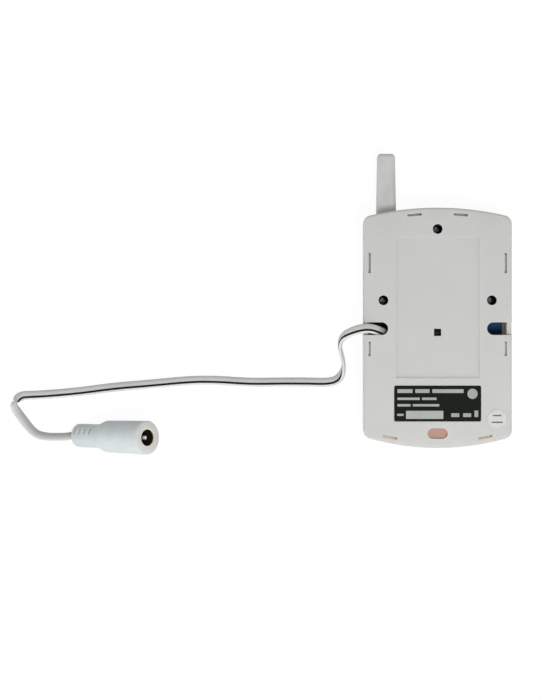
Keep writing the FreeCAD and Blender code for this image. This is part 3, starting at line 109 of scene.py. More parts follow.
# The lead's route in millimetres, from the plug on the board to the socket's rear, with the
# direction that its striped face turns to at each point.
LEAD_ROUTE = [
    ((-16.6, -3.3, 14.2), (0.0, 0.0, 1.0)),
    ((-18.8, -2.4, 18.6), (0.5, 0.0, 0.85)),
    ((-20.9, -1.4, 21.9), (0.4, -0.1, 0.9)),
    ((-23.6, -0.4, 23.8), (0.3, 0.0, 0.95)),
    ((-26.2, -0.05, 24.6), (0.2, 0.0, 1.0)),
    ((-29.3, -0.5, 25.4), (-0.1, 0.0, 1.0)),
    ((-32.4, -1.7, 24.0), (-0.4, 0.1, 0.9)),
    ((-34.9, -3.1, 20.6), (-0.9, 0.1, 0.4)),
    ((-36.1, -5.6, 16.4), (-1.0, -0.1, 0.1)),
    ((-35.6, -8.4, 11.8), (-1.0, -0.16, -0.03)),
    ((-34.6, -11.4, 7.5), (-1.0, -0.16, -0.03)),
    ((-34.1, -14.2, 4.1), (-1.0, -0.1, 0.0)),
    ((-34.5, -16.7, 1.9), (-0.7, 0.2, 0.6)),
    ((-36.0, -19.1, FLAT), (-0.2, 0.1, 0.95)),
    ((-38.4, -20.2, FLAT), (0.0, 0.0, 1.0)),
    ((-42.0, -20.5, FLAT), (0.0, 0.0, 1.0)),
    ((-48.0, -20.3, FLAT), (0.0, 0.0, 1.0)),
    ((-58.0, -20.3, FLAT), (0.0, 0.0, 1.0)),
    ((-70.0, -20.5, FLAT), (0.0, 0.0, 1.0)),
    ((-82.0, -19.6, FLAT), (0.0, 0.0, 1.0)),
    ((-93.0, -19.7, FLAT), (0.0, 0.0, 1.0)),
    ((-107.0, -21.1, FLAT), (0.0, 0.0, 1.0)),
    ((-121.0, -22.2, FLAT), (0.0, 0.0, 1.0)),
    ((-134.0, -24.0, FLAT), (0.0, 0.0, 1.0)),
    ((-145.5, -25.0, FLAT), (0.0, 0.0, 1.0)),
    ((-152.6, -25.4, FLAT), (0.0, 0.0, 1.0)),
    ((-155.8, -25.4, FLAT), (0.0, -0.1, 1.0)),
    ((-157.8, -26.6, EDGE), (0.35, -0.35, 0.85)),
    ((-159.1, -29.2, EDGE), (0.6, 0.2, -0.8)),
    ((-157.9, -31.4, FLAT), (0.1, 0.0, -1.0)),
    ((-155.4, -34.7, 0.9), (-0.1, -0.06, -0.99)),
    ((-152.9, -38.0, 0.9), (-0.25, -0.18, -0.95)),
    ((-150.2, -40.3, 1.1), (-0.3, -0.4, -0.85)),
    ((-146.4, -41.1, 1.2), (-0.1, -0.55, -0.82)),
    ((-142.0, -41.1, 1.2), (0.0, -0.62, -0.78)),
    ((-138.9, -41.0, 1.2), (0.0, -0.62, -0.78)),
    ((-136.1, -40.5, 1.4), (0.3, -0.6, -0.75)),
    ((-134.4, -40.5, 2.65), (0.5, -0.6, -0.6)),
]

# The lead's section: the number of points round it, the powers that square its sides and its
# faces, and the groove's width as a share of the lead's
SECTION_POINTS = 28
SIDE_POWER = 0.85
FACE_POWER = 0.7
GROOVE_WIDTH = 0.2

# How many sections to each side take part in a section's lift off the table
LIFT_REACH = 3

# Places across the lead, from 0 at the striped edge to 1, where the painted highlight on the edge
# fades on top and underneath and where the stripe lies, and the place through its thickness where top
# starts
HIGHLIGHT_ABOVE = (0.24, 0.32)
HIGHLIGHT_BELOW = (0.35, 0.60)
STRIPE = (0.205, 0.445)
TOP_START = (0.52, 0.6)

# The floor's half width and level, the shade of its paint, and the share and strength of the
# white that it shows where it is seen
FLOOR_HALF = 3.0
FLOOR_LEVEL = -0.02 * MM
FLOOR_PAINT = (0.6, 0.6, 0.6, 1.0)
FLOOR_SHARE = 0.85
FLOOR_WHITE = 1.104

# The lamps: place, width, and the setting that gives their power; all point at the sensor
LAMP_AIM = (-0.02, 0.0, 0.02)
LAMPS = {
    "high lamp": ((0.12, -0.28, 1.25), 0.30, "high"),
    "front lamp": ((-0.30, -0.54, 0.12), 0.40, "front"),
    "left lamp": ((-0.72, -0.28, 0.16), 0.40, "side"),
    "right lamp": ((0.58, -0.28, 0.16), 0.40, "side"),
}


def grid_mesh(name, points, uv=None, closed=False):
    """A mesh of quads on a grid of points.

    points is an array of rows by columns by 3. When closed is set, each row closes on itself and
    one face covers the first row and one the last. uv is an array of rows by columns by 2, kept
    per vertex.
    """
    rows, columns = points.shape[:2]
    r = np.arange(rows - 1)
    c = np.arange(columns if closed else columns - 1)
    r0, c0 = np.meshgrid(r, c, indexing="ij")
    r1, c1 = r0 + 1, (c0 + 1) % columns
    row, next_row = r0 * columns, r1 * columns
    quads = np.stack([row + c0, row + c1, next_row + c1, next_row + c0], -1)
    faces = quads.reshape(-1, 4).tolist()
    if closed:
        faces.append(list(range(columns))[::-1])
        faces.append([(rows - 1) * columns + i for i in range(columns)])
    mesh = bpy.data.meshes.new(name)
    mesh.from_pydata(points.reshape(-1, 3).tolist(), [], faces)
    if uv is not None:
        layer = mesh.uv_layers.new(name="UVMap")
        corners = np.empty(len(mesh.loops), np.int32)
        mesh.loops.foreach_get("vertex_index", corners)
        layer.data.foreach_set("uv", uv.reshape(-1, 2)[corners].astype(np.float32).ravel())
    mesh.polygons.foreach_set("use_smooth", np.ones(len(mesh.polygons), bool))
    mesh.update()
    return mesh


def place(name, mesh, finish):
    """Links a finished mesh as a piece that rides on the case, with its material slot."""
    piece = bpy.data.objects.new(name, mesh)
    bpy.context.scene.collection.objects.link(piece)
    mesh.materials.append(finish)
    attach(piece, HOUSING)
    return piece


def dress(node, finish, degrees=28.0):
    """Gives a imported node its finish, and shades it smoothly but for edges sharper than degrees."""
    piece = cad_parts[node]
    piece.data.materials.clear()
    piece.data.materials.append(finish)
    piece.data.polygons.foreach_set("use_smooth", np.ones(len(piece.data.polygons), bool))
    weld = piece.modifiers.new("joined facets", "WELD")
    weld.merge_threshold = 1e-6
    split = piece.modifiers.new("crisp edges", "EDGE_SPLIT")
    split.split_angle = math.radians(degrees)


def start_finish(name, colour, roughness, **plain):
    """A material with one principled shader; plain sets its other sockets by name."""
    finish = bpy.data.materials.new(name)
    finish.use_nodes = True
    shader = finish.node_tree.nodes["Principled BSDF"]
    shader.inputs["Base Color"].default_value = (*colour[:3], 1.0)
    shader.inputs["Roughness"].default_value = roughness
    for key, value in plain.items():
        shader.inputs[key.replace("_", " ")].default_value = value
    return finish, finish.node_tree, shader


def add(tree, kind, **settings):
    """A node of a kind, with its plain settings."""
    item = tree.nodes.new(kind)
    for key, value in settings.items():
        setattr(item, key, value)
    return item


def coordinates(tree, output="Object"):
    """The piece's own coordinates, or its UV map."""
    return add(tree, "ShaderNodeTexCoord").outputs[output]


def noise(tree, scale, detail=2.0):
    """Cloud noise with so many cells to a metre."""
    item = add(tree, "ShaderNodeTexNoise")
    tree.links.new(coordinates(tree), item.inputs["Vector"])
    item.inputs["Scale"].default_value = scale
    item.inputs["Detail"].default_value = detail
    return item.outputs["Fac"]


def spread(tree, value, low, high, start=0.0, end=1.0):
    """A value stretched from one range to another, held at its ends."""
    item = add(tree, "ShaderNodeMapRange", clamp=True)
    tree.links.new(value, item.inputs["Value"])
    item.inputs["From Min"].default_value = start
    item.inputs["From Max"].default_value = end
    item.inputs["To Min"].default_value = low
    item.inputs["To Max"].default_value = high
    return item.outputs["Result"]


def calculate(tree, operation, first, second=None):
    """Arithmetic on two sockets or plain numbers."""
    item = add(tree, "ShaderNodeMath", operation=operation)
    for socket, value in zip(item.inputs, (first, second)):
        if value is None:
            continue
        if isinstance(value, (int, float)):
            socket.default_value = value
        else:
            tree.links.new(value, socket)
    return item.outputs[0]


def blend_colours(tree, factor, first, second):
    """A mix of two colours, each a socket or plain numbers."""
    item = add(tree, "ShaderNodeMix", data_type="RGBA")
    tree.links.new(factor, item.inputs["Factor"])
    for name, value in (("A", first), ("B", second)):
        socket = [s for s in item.inputs if s.name == name and s.type == "RGBA"][0]
        if isinstance(value, bpy.types.NodeSocket):
            tree.links.new(value, socket)
        else:
            socket.default_value = (*value[:3], 1.0)
    return [s for s in item.outputs if s.type == "RGBA"][0]


def relief(tree, shader, height, distance, strength, edge=0.0):
    """Small relief from a height, in metres, over edges that are eased by a radius."""
    item = add(tree, "ShaderNodeBump")
    if edge:
        eased = add(tree, "ShaderNodeBevel", samples=4)
        eased.inputs["Radius"].default_value = edge
        tree.links.new(eased.outputs["Normal"], item.inputs["Normal"])
    tree.links.new(height, item.inputs["Height"])
    item.inputs["Distance"].default_value = distance
    item.inputs["Strength"].default_value = strength
    tree.links.new(item.outputs["Normal"], shader.inputs["Normal"])


def axis_of(tree, letter, output="Object"):
    """One coordinate of the piece or of its UV map."""
    item = add(tree, "ShaderNodeSeparateXYZ")
    tree.links.new(coordinates(tree, output), item.inputs[0])
    return item.outputs[letter]


def within(tree, value, low, high, soft):
    """One between two limits and zero outside, with soft ends."""
    rise = spread(tree, value, 0.0, 1.0, low - soft, low + soft)
    fall = spread(tree, value, 1.0, 0.0, high - soft, high + soft)
    return calculate(tree, "MULTIPLY", rise, fall)


def shade(colour, factor):
    """A colour made darker or lighter."""
    return tuple(min(channel * factor, 1.0) for channel in colour[:3])


def mottle(tree, shader, colour, amount=0.03, scale=90.0):
    """Slight unevenness of the colour over a few millimetres."""
    cloud = spread(tree, noise(tree, scale), 0.0, 1.0, 0.3, 0.7)
    mixed = blend_colours(tree, cloud, shade(colour, 1.0 - amount), shade(colour, 1.0 + amount))
    tree.links.new(mixed, shader.inputs["Base Color"])
    return mixed


def reach_from(tree, y, x=0.0):
    """Distance in plan from a point, or from it or its mirror image across the Y axis."""
    across = calculate(tree, "SUBTRACT", calculate(tree, "ABSOLUTE", axis_of(tree, "X")), x)
    along = calculate(tree, "SUBTRACT", axis_of(tree, "Y"), y)
    total = calculate(tree, "ADD", calculate(tree, "MULTIPLY", across, across),
                      calculate(tree, "MULTIPLY", along, along))
    return calculate(tree, "SQRT", total)


def case_inset(tree):
    """How far a point lies inside the case's outline: two straight sides and two arcs."""
    side = calculate(tree, "SUBTRACT", BACK_HIGH.x, calculate(tree, "ABSOLUTE", axis_of(tree, "X")))
    top = calculate(tree, "SUBTRACT", TOP_ARC, reach_from(tree, BACK_HIGH.y - TOP_ARC))
    bottom = calculate(tree, "SUBTRACT", BOTTOM_ARC, reach_from(tree, BACK_LOW.y + BOTTOM_ARC))
    return calculate(tree, "MINIMUM", side, calculate(tree, "MINIMUM", top, bottom))


def moulded_case(name, looks):
    """White case plastic: spark-eroded grain outside, with painted light and shade below the back.

    Painted warm light tints the inside by how deep a point lies below the back and how far inside
    the outline. Painted light tints the hook slots by their own band along the outline, warmer
    towards the bottom, and painted warm light tints the oval pocket by its place. Painted shadow
    darkens the bores by their distance from the screws. The inside and the lower slots also get a
    faint painted glow, an emission that stands for light seeping through thin walls.
    """
    finish, tree, shader = start_finish(name, looks.shell, 0.42, IOR=1.5)
    outer = mottle(tree, shader, looks.shell, 0.012, 60.0)
    height = axis_of(tree, "Z")
    along = axis_of(tree, "Y")
    inset = case_inset(tree)
    # Painted warm light: the walls and floor inside the case take a lighter, warm tint
    deep = spread(tree, height, 1.0, 0.0, BACK_FACE - ROOM_DEPTH[0], BACK_FACE - ROOM_DEPTH[1])
    inner = spread(tree, inset, 0.0, 1.0, WALL - 0.15 * MM, WALL - 0.05 * MM)
    above_floor = spread(tree, height, 0.0, 1.0, *FLOOR_FADE)
    mask = calculate(tree, "MULTIPLY", calculate(tree, "MULTIPLY", deep, inner), above_floor)
    colour = blend_colours(tree, mask, outer, looks.inside)

    band = within(tree, inset, *SLOT_BAND, 0.05 * MM)
    below = within(tree, height, BACK_FACE - SLOT_DEPTH[0], BACK_FACE - SLOT_DEPTH[1], 0.1 * MM)
    notch = within(tree, along, NOTCH_Y - NOTCH_HALF, NOTCH_Y + NOTCH_HALF, 0.1 * MM)
    band = calculate(tree, "MULTIPLY", calculate(tree, "MULTIPLY", band, below),
                     calculate(tree, "SUBTRACT", 1.0, notch))
    # Painted light in the hook slots: lighter than the plastic, and warmer towards the bottom where
    # more light seeps in
    lower = spread(tree, along, 1.0, 0.0, BACK_LOW.y, BACK_HIGH.y)
    slot = blend_colours(tree, lower, looks.slot, looks.slot_low)
    colour = blend_colours(tree, band, colour, slot)

    # Painted warm, dim light on the oval pocket's thin floor; the plastic itself is white
    across = axis_of(tree, "X")
    oval = within(tree, across, POCKET[0] - POCKET_HALF[0], POCKET[0] + POCKET_HALF[0], 0.02 * MM)
    oval = calculate(tree, "MULTIPLY", oval, within(
        tree, along, POCKET[1] - POCKET_HALF[1], POCKET[1] + POCKET_HALF[1], 0.02 * MM))
    oval = calculate(tree, "MULTIPLY", oval, within(
        tree, height, BACK_FACE - POCKET_DEPTH[0], BACK_FACE - POCKET_DEPTH[1], 0.3 * MM))
    colour = blend_colours(tree, oval, colour, looks.pocket)

    # Painted shadow on the walls of the deep screw bores
    reach = calculate(tree, "MINIMUM", reach_from(tree, TOP_SCREW), reach_from(tree, *SIDE_SCREW))
    bore = spread(tree, reach, 1.0, 0.0, BORE_RADIUS, BORE_RADIUS + 0.1 * MM)
    bore = calculate(tree, "MULTIPLY", bore, spread(
        tree, height, 1.0, 0.0, BACK_FACE - MOUTH_DEPTH[0], BACK_FACE - MOUTH_DEPTH[1]))
    colour = blend_colours(tree, bore, colour, looks.bore)
    tree.links.new(colour, shader.inputs["Base Color"])

    grain = calculate(tree, "ADD", noise(tree, 5200.0, 2.0), noise(tree, 1500.0, 1.0))
    relief(tree, shader, grain, 0.012 * MM, 0.35, edge=0.14 * MM)
    tree.links.new(spread(tree, noise(tree, 220.0), 0.38, 0.47), shader.inputs["Roughness"])
    shader.inputs["Subsurface Weight"].default_value = 0.35
    shader.inputs["Subsurface Radius"].default_value = (1.0, 0.6, 0.45)
    shader.inputs["Subsurface Scale"].default_value = 1.6 * MM

    # Painted glow: faint emission inside the case and in the lower slots stands for light seeping
    # through thin walls; none in the bores
    low_slot = calculate(tree, "MULTIPLY", band, calculate(tree, "POWER", lower, 3.0))
    seep = calculate(tree, "ADD", spread(tree, mask, 0.0, looks.seep),
                     spread(tree, low_slot, 0.0, looks.seep_low))
    seep = calculate(tree, "MULTIPLY", seep, calculate(tree, "SUBTRACT", 1.0, bore))
    tree.links.new(seep, shader.inputs["Emission Strength"])
    shader.inputs["Emission Color"].default_value = SEEP_COLOUR
    return finish


def plain_metal(name, colour, roughness):
    """Drawn or turned metal with fine uneven polish."""
    finish, tree, shader = start_finish(name, colour, roughness, Metallic=1.0)
    tree.links.new(spread(tree, noise(tree, 900.0), roughness - 0.08, roughness + 0.1),
                   shader.inputs["Roughness"])
    relief(tree, shader, noise(tree, 1800.0), 0.01 * MM, 0.4)
    mottle(tree, shader, colour, 0.05, 300.0)
    return finish


def dull_moulding(name, colour, roughness, grain=0.01):
    """Plain moulded plastic or rubber with a fine grain, its height in millimetres."""
    finish, tree, shader = start_finish(name, colour, roughness)
    mottle(tree, shader, colour, 0.05, 250.0)
    relief(tree, shader, noise(tree, 4200.0), grain * MM, 0.4)
    tree.links.new(spread(tree, noise(tree, 400.0), roughness - 0.05, roughness + 0.07),
                   shader.inputs["Roughness"])
    return finish


def socket_moulding(name, looks):
    """The socket's bluish white moulding, with the warmer grey of its cut end face.

    The end face is where the way along the socket's own leaning axis is nearly its length.
    """
    finish, tree, shader = start_finish(name, looks.socket, 0.5)
    outer = mottle(tree, shader, looks.socket, 0.03, 250.0)
    lean = math.radians(SOCKET_LEAN)
    level = calculate(tree, "MULTIPLY", axis_of(tree, "X"), math.cos(lean))
    rise = calculate(tree, "MULTIPLY", axis_of(tree, "Z"), math.sin(lean))
    along = calculate(tree, "ADD", level, rise)
    end = SOCKET_FACE[0] * math.cos(lean) + SOCKET_FACE[1] * math.sin(lean)
    face = spread(tree, along, 0.0, 1.0, end - 0.25 * MM, end - 0.05 * MM)
    tree.links.new(blend_colours(tree, face, outer, looks.socket_face), shader.inputs["Base Color"])
    relief(tree, shader, noise(tree, 4200.0), 0.01 * MM, 0.4)
    tree.links.new(spread(tree, noise(tree, 400.0), 0.45, 0.57), shader.inputs["Roughness"])
    shader.inputs["Subsurface Weight"].default_value = 0.7
    shader.inputs["Subsurface Radius"].default_value = (1.0, 1.0, 1.0)
    shader.inputs["Subsurface Scale"].default_value = 1.2 * MM
    return finish


def button_moulding(name, colour):
    """Black button plastic, dull, with a painted highlight: a paler line across its top."""
    finish, tree, shader = start_finish(name, colour, 0.6, Specular_IOR_Level=0.12)
    # Painted highlight: a paler line across the button's top
    line = within(tree, axis_of(tree, "Y"), HIGHLIGHT_LINE - HIGHLIGHT_HALF, HIGHLIGHT_LINE + HIGHLIGHT_HALF,
                  0.1 * MM)
    mixed = blend_colours(tree, line, colour, shade(colour, 12.0))
    tree.links.new(mixed, shader.inputs["Base Color"])
    relief(tree, shader, noise(tree, 4200.0), 0.01 * MM, 0.4)
    return finish


def solder_mask(name, colour):
    """Blue board lacquer over copper tracks, with painted shade that darkens it towards its left
    edge, behind the lead.
    """
    finish, tree, shader = start_finish(name, colour, 0.42, Specular_IOR_Level=0.1)
    tracks = add(tree, "ShaderNodeTexBrick", offset=0.5)
    tree.links.new(coordinates(tree), tracks.inputs["Vector"])
    tracks.inputs["Scale"].default_value = 420.0
    tracks.inputs["Mortar Size"].default_value = 0.12
    tracks.inputs["Mortar Smooth"].default_value = 0.2
    mixed = blend_colours(tree, tracks.outputs["Fac"], shade(colour, 0.8), shade(colour, 1.7))
    # Painted shade on the lacquer towards the board's left edge, behind the lead
    edge_shade = spread(tree, axis_of(tree, "X"), 1.0, 0.0, *SHADED_EDGE)
    mixed = blend_colours(tree, edge_shade, mixed, shade(colour, 0.06))
    tree.links.new(mixed, shader.inputs["Base Color"])
    relief(tree, shader, tracks.outputs["Fac"], 0.03 * MM, 0.5)
    return finish


def woven_gauze(name, colour):
    """Fine woven cloth over the sound inlet: the product of a sine wave along X and one along Y."""
    finish, tree, shader = start_finish(name, colour, 0.9)
    threads = []
    for letter in "XY":
        turns = calculate(tree, "MULTIPLY", axis_of(tree, letter), GAUZE_WAVES)
        wave = calculate(tree, "SINE", turns)
        threads.append(spread(tree, wave, 0.0, 1.0, -1.0, 1.0))
    weave = calculate(tree, "MULTIPLY", *threads)
    tree.links.new(blend_colours(tree, weave, shade(colour, 0.4), shade(colour, 1.8)),
                   shader.inputs["Base Color"])
    relief(tree, shader, weave, 0.05 * MM, 0.6)
    return finish


def clear_resin(name, colour, transmission):
    """Tinted or clear cast resin."""
    finish, tree, shader = start_finish(name, colour, 0.15, IOR=1.5)
    shader.inputs["Transmission Weight"].default_value = transmission
    tree.links.new(spread(tree, noise(tree, 500.0), 0.11, 0.21), shader.inputs["Roughness"])
    mottle(tree, shader, colour, 0.04, 400.0)
    return finish


def flat_jacket(name, looks):
    """The lead's soft jacket: one dark stripe along the first core, with a painted highlight on the
    edge beside it.

    The underside has no stripe and is a little darker by painted shade, and its painted highlight
    fades out more slowly.
    The piece's own UV map gives the place in the section: U over its width from 0 to 1, and V
    over its thickness from 0 underneath to 1 on top.
    """
    finish, tree, shader = start_finish(name, looks.colour, 0.45, IOR=1.48)
    base = mottle(tree, shader, looks.colour, 0.03, 140.0)
    waver = spread(tree, noise(tree, 120.0), -0.012, 0.012)
    place_across = calculate(tree, "ADD", axis_of(tree, "X", "UV"), waver)
    upper = spread(tree, axis_of(tree, "Y", "UV"), 0.0, 1.0, *TOP_START)
    # Painted highlight on the edge beside the stripe, on top
    pale = spread(tree, place_across, 1.0, 0.0, *HIGHLIGHT_ABOVE)
    top = blend_colours(tree, pale, base, looks.edge)
    # Underneath, painted shade darkens the jacket and its painted highlight
    pale = spread(tree, place_across, 1.0, 0.0, *HIGHLIGHT_BELOW)
    shaded_under = blend_colours(tree, pale, shade(looks.colour, 0.82), shade(looks.edge, 0.88))
    base = blend_colours(tree, upper, shaded_under, top)
    line = within(tree, place_across, *STRIPE, 0.02)
    mask = calculate(tree, "MULTIPLY", line, upper)
    tree.links.new(blend_colours(tree, mask, base, looks.stripe), shader.inputs["Base Color"])
    tree.links.new(spread(tree, mask, 0.5, 0.1), shader.inputs["Specular IOR Level"])
    relief(tree, shader, noise(tree, 1800.0), 0.02 * MM, 0.3)
    shader.inputs["Subsurface Weight"].default_value = 0.1
    shader.inputs["Subsurface Radius"].default_value = (1.0, 0.8, 0.7)
    shader.inputs["Subsurface Scale"].default_value = 0.3 * MM
    return finish


def printed_film(name, colour, roughness=0.4):
    """Thin printed film or paper with a faint sheen."""
    finish, tree, shader = start_finish(name, colour, roughness, Specular_IOR_Level=0.04)
    mottle(tree, shader, colour, 0.06, 180.0)
    relief(tree, shader, noise(tree, 700.0, 3.0), 0.02 * MM, 0.35)
    return finish


def lead_centreline():
    """Points read from the route's smooth spline, and the face directions beside them.

    A quadratic NURBS has the route's points as its control points. The face direction at a
    point is the route's directions mixed by how far along the spline the point lies.
    """
    plug_y = (PLUG_LOW.y + PLUG_HIGH.y) / 2
    plug_z = (PLUG_LOW.z + PLUG_HIGH.z) / 2
    points = [(PLUG_LOW.x, plug_y, plug_z)]
    points += [tuple(value * MM for value in spot) for spot, face in LEAD_ROUTE]
    faces = np.array([(0.0, 0.0, 1.0)] + [face for spot, face in LEAD_ROUTE])
    curve = bpy.data.curves.new("lead_route", "CURVE")
    curve.dimensions = "3D"
    spline = curve.splines.new("NURBS")
    spline.points.add(len(points) - 1)
    spline.points.foreach_set("co", [value for point in points for value in (*point, 1.0)])
    spline.order_u = 3
    spline.use_endpoint_u = True
    spline.resolution_u = 10
    carrier = bpy.data.objects.new("lead_route", curve)
    bpy.context.scene.collection.objects.link(carrier)
    bpy.context.view_layer.update()
    graph = bpy.context.evaluated_depsgraph_get()
    line = bpy.data.meshes.new_from_object(carrier.evaluated_get(graph))
    path = np.empty(len(line.vertices) * 3)
    line.vertices.foreach_get("co", path)
    bpy.data.objects.remove(carrier)
    path = path.reshape(-1, 3)
    control = np.array(points)
    share = np.concatenate([[0], np.cumsum(np.linalg.norm(np.diff(path, axis=0), axis=1))])
    legs = np.concatenate([[0], np.cumsum(np.linalg.norm(np.diff(control, axis=0), axis=1))])
    share /= share[-1]
    legs /= legs[-1]
    mixed = np.stack([np.interp(share, legs, faces[:, i]) for i in range(3)], -1)
    return path, mixed


def lead_frames(path, faces):
    """Across and face directions at each point.

    The face hint is averaged over five points and made square to the tangent, and across is the
    tangent crossed with it.
    """
    tangent = np.gradient(path, axis=0)
    tangent /= np.linalg.norm(tangent, axis=1)[:, None]
    kernel = np.ones(5) / 5
    padded = np.pad(faces, ((2, 2), (0, 0)), mode="edge")
    faces = np.stack([np.convolve(padded[:, i], kernel, mode="valid") for i in range(3)], -1)
    faces = faces - (faces * tangent).sum(1)[:, None] * tangent
    faces /= np.linalg.norm(faces, axis=1)[:, None]
    across = np.cross(tangent, faces)
    return across, faces


def build_lead(sizes):
    """The flat two-core lead: a rounded section with a shallow groove between its cores.

    With t from 0 to a full turn, the section is half the width times the cosine of t to the side
    power across, and half the thickness times the sine of t to the face power, less a bell-shaped
    dip round the middle. Sections that would dip into the table rise by the deepest dip near
    them, averaged over their neighbours.
    """
    path, hints = lead_centreline()
    across, face = lead_frames(path, hints)
    turn = np.linspace(0, 2 * np.pi, SECTION_POINTS, endpoint=False)
    cosine, sine = np.cos(turn), np.sin(turn)
    side = np.sign(cosine) * np.abs(cosine) ** SIDE_POWER
    rise = np.sign(sine) * np.abs(sine) ** FACE_POWER
    rise = rise * (1 - sizes.groove * np.exp(-(side / GROOVE_WIDTH) ** 2))
    width, thickness = sizes.width, sizes.thickness
    points = (path[:, None] + across[:, None] * (side * width / 2)[None, :, None]
              + face[:, None] * (rise * thickness / 2)[None, :, None])
    sunk = np.pad(np.maximum(0.0, -points[..., 2].min(axis=1)), LIFT_REACH, mode="edge")
    lift = np.lib.stride_tricks.sliding_window_view(sunk, 2 * LIFT_REACH + 1).max(axis=1)
    lift = np.pad(lift, LIFT_REACH, mode="edge")
    lift = np.lib.stride_tricks.sliding_window_view(lift, 2 * LIFT_REACH + 1).mean(axis=1)
    points[..., 2] += lift[:, None]
    uv = np.stack([side / 2 + 0.5, rise / 2 + 0.5], -1)
    uv = np.broadcast_to(uv[None], (len(path), len(turn), 2))
    finish = flat_jacket("lead jacket", sizes)
    mesh = grid_mesh("flat_lead", points, uv, closed=True)
    lead = place("flat_lead", mesh, finish)
    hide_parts("power_lead")
    return lead


def round_bar(centre, size, radius, level, thickness, steps=6):
    """A flat bar with round corners, as an outline swept up in three rows with an eased edge.

    The outline is four quarter circles of the corner radius about the corners' centres. The
    first two rows make the wall, and the top row is smaller by the edge's easing.
    """
    half_x, half_y = size[0] / 2 - radius, size[1] / 2 - radius
    angles = np.concatenate([np.linspace(k, k + 1, steps) * np.pi / 2 for k in range(4)])
    signs = np.repeat([(1, 1), (-1, 1), (-1, -1), (1, -1)], steps, axis=0)
    ease = min(thickness * 0.3, radius * 0.5)
    rows = []
    for inset, height in ((0.0, 0.0), (0.0, thickness - ease), (ease, thickness)):
        x = centre[0] + signs[:, 0] * half_x + np.cos(angles) * (radius - inset)
        y = centre[1] + signs[:, 1] * half_y + np.sin(angles) * (radius - inset)
        rows.append(np.stack([x, y, np.full(len(x), level + height)], -1))
    return np.array(rows)


def join_bars(name, bars):
    """One mesh of several swept outlines."""
    vertices, faces = [], []
    for rows in bars:
        start = len(vertices)
        count, columns = rows.shape[:2]
        vertices += rows.reshape(-1, 3).tolist()
        for i in range(count - 1):
            for j in range(columns):
                k = (j + 1) % columns
                faces.append([start + i * columns + j, start + i * columns + k,
                              start + (i + 1) * columns + k, start + (i + 1) * columns + j])
        faces.append([start + i for i in range(columns)][::-1])
        faces.append([start + (count - 1) * columns + i for i in range(columns)])
    mesh = bpy.data.meshes.new(name)
    mesh.from_pydata(vertices, [], faces)
    mesh.update()
    return mesh


# Blank shapes in place of print, in millimetres from the middle of the plate or the sticker:
# left, right, low and high, and for the disc its middle and radius
PLATE_BARS = [
    (-14.9, -9.3, 3.9, 5.3), (-8.3, -3.0, 3.9, 5.3), (-2.0, 9.6, 3.9, 5.3),
    (-14.9, -6.6, 1.3, 2.2), (-5.8, -0.4, 1.3, 2.2),
    (-14.9, -10.0, -1.1, -0.2), (-9.2, 0.6, -1.1, -0.2),
    (-15.0, -12.6, -4.6, -3.8),
    (5.0, 8.0, -5.0, -3.6), (9.4, 12.4, -5.0, -3.6), (13.6, 15.0, -5.0, -2.6),
]
PLATE_FIELD = (-11.7, 2.1, -5.7, -2.7)
PLATE_DISC = (12.9, 3.6, 1.9)
STICKER_BARS = [(-1.5, 1.6, 1.0, 1.5), (-2.0, 2.1, -1.5, -1.0)]


def bar_rows(box, level, thickness, radius=0.15):
    """The swept outline of a bar given by its left, right, low and high sides in millimetres."""
    left, right, low, high = (value * MM for value in box)
    return round_bar(((left + right) / 2, (low + high) / 2), (right - left, high - low),
                     radius * MM, level, thickness)


def shift(rows, x, y):
    """Rows moved in the plane."""
    return rows + np.array([x, y, 0.0])


def build_plate(looks):
    """The black rating plate, its blank field and the bars that stand for print."""
    low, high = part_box("rating_label")
    x, y = (low.x + high.x) / 2, (low.y + high.y) / 2
    size = (high.x - low.x, high.y - low.y)
    thickness = 0.02 * MM
    rows = shift(round_bar((0, 0), size, 0.6 * MM, low.z, high.z - low.z + thickness), x, y)
    plate = place("rating_plate", join_bars("rating_plate", [rows]),
                  printed_film("plate film", looks.plate))
    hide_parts("rating_label")
    level = high.z + 0.018 * MM
    bars = [shift(bar_rows(box, level, thickness), x, y) for box in PLATE_BARS]
    place("plate_print", join_bars("plate_print", bars),
          printed_film("plate print", looks.print_ink))
    disc_x, disc_y, radius = PLATE_DISC
    disc = (disc_x - radius, disc_x + radius, disc_y - radius, disc_y + radius)
    rows = shift(bar_rows(disc, level, thickness, radius * 0.98), x, y)
    place("plate_disc", join_bars("plate_disc", [rows]),
          printed_film("plate disc", looks.print_ink))
    rows = shift(bar_rows(PLATE_FIELD, level, thickness), x, y)
    place("plate_field", join_bars("plate_field", [rows]),
          printed_film("plate field", looks.field))


def build_sticker(looks):
    """The round sticker with two blank bars."""
    low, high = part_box("round_sticker")
    x, y = (low.x + high.x) / 2, (low.y + high.y) / 2
    radius = (high.x - low.x) / 2
    rows = shift(round_bar((0, 0), (radius * 2, radius * 2), radius * 0.999, low.z,
                           high.z - low.z, steps=16), x, y)
    disc = place("sticker_disc", join_bars("sticker_disc", [rows]),
                 printed_film("sticker paper", looks.sticker, 0.5))
    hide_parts("round_sticker")
    level = high.z - 0.002 * MM
    bars = [shift(bar_rows(box, level, 0.015 * MM), x, y) for box in STICKER_BARS]
    place("sticker_print", join_bars("sticker_print", bars),
          printed_film("sticker print", looks.sticker_ink))


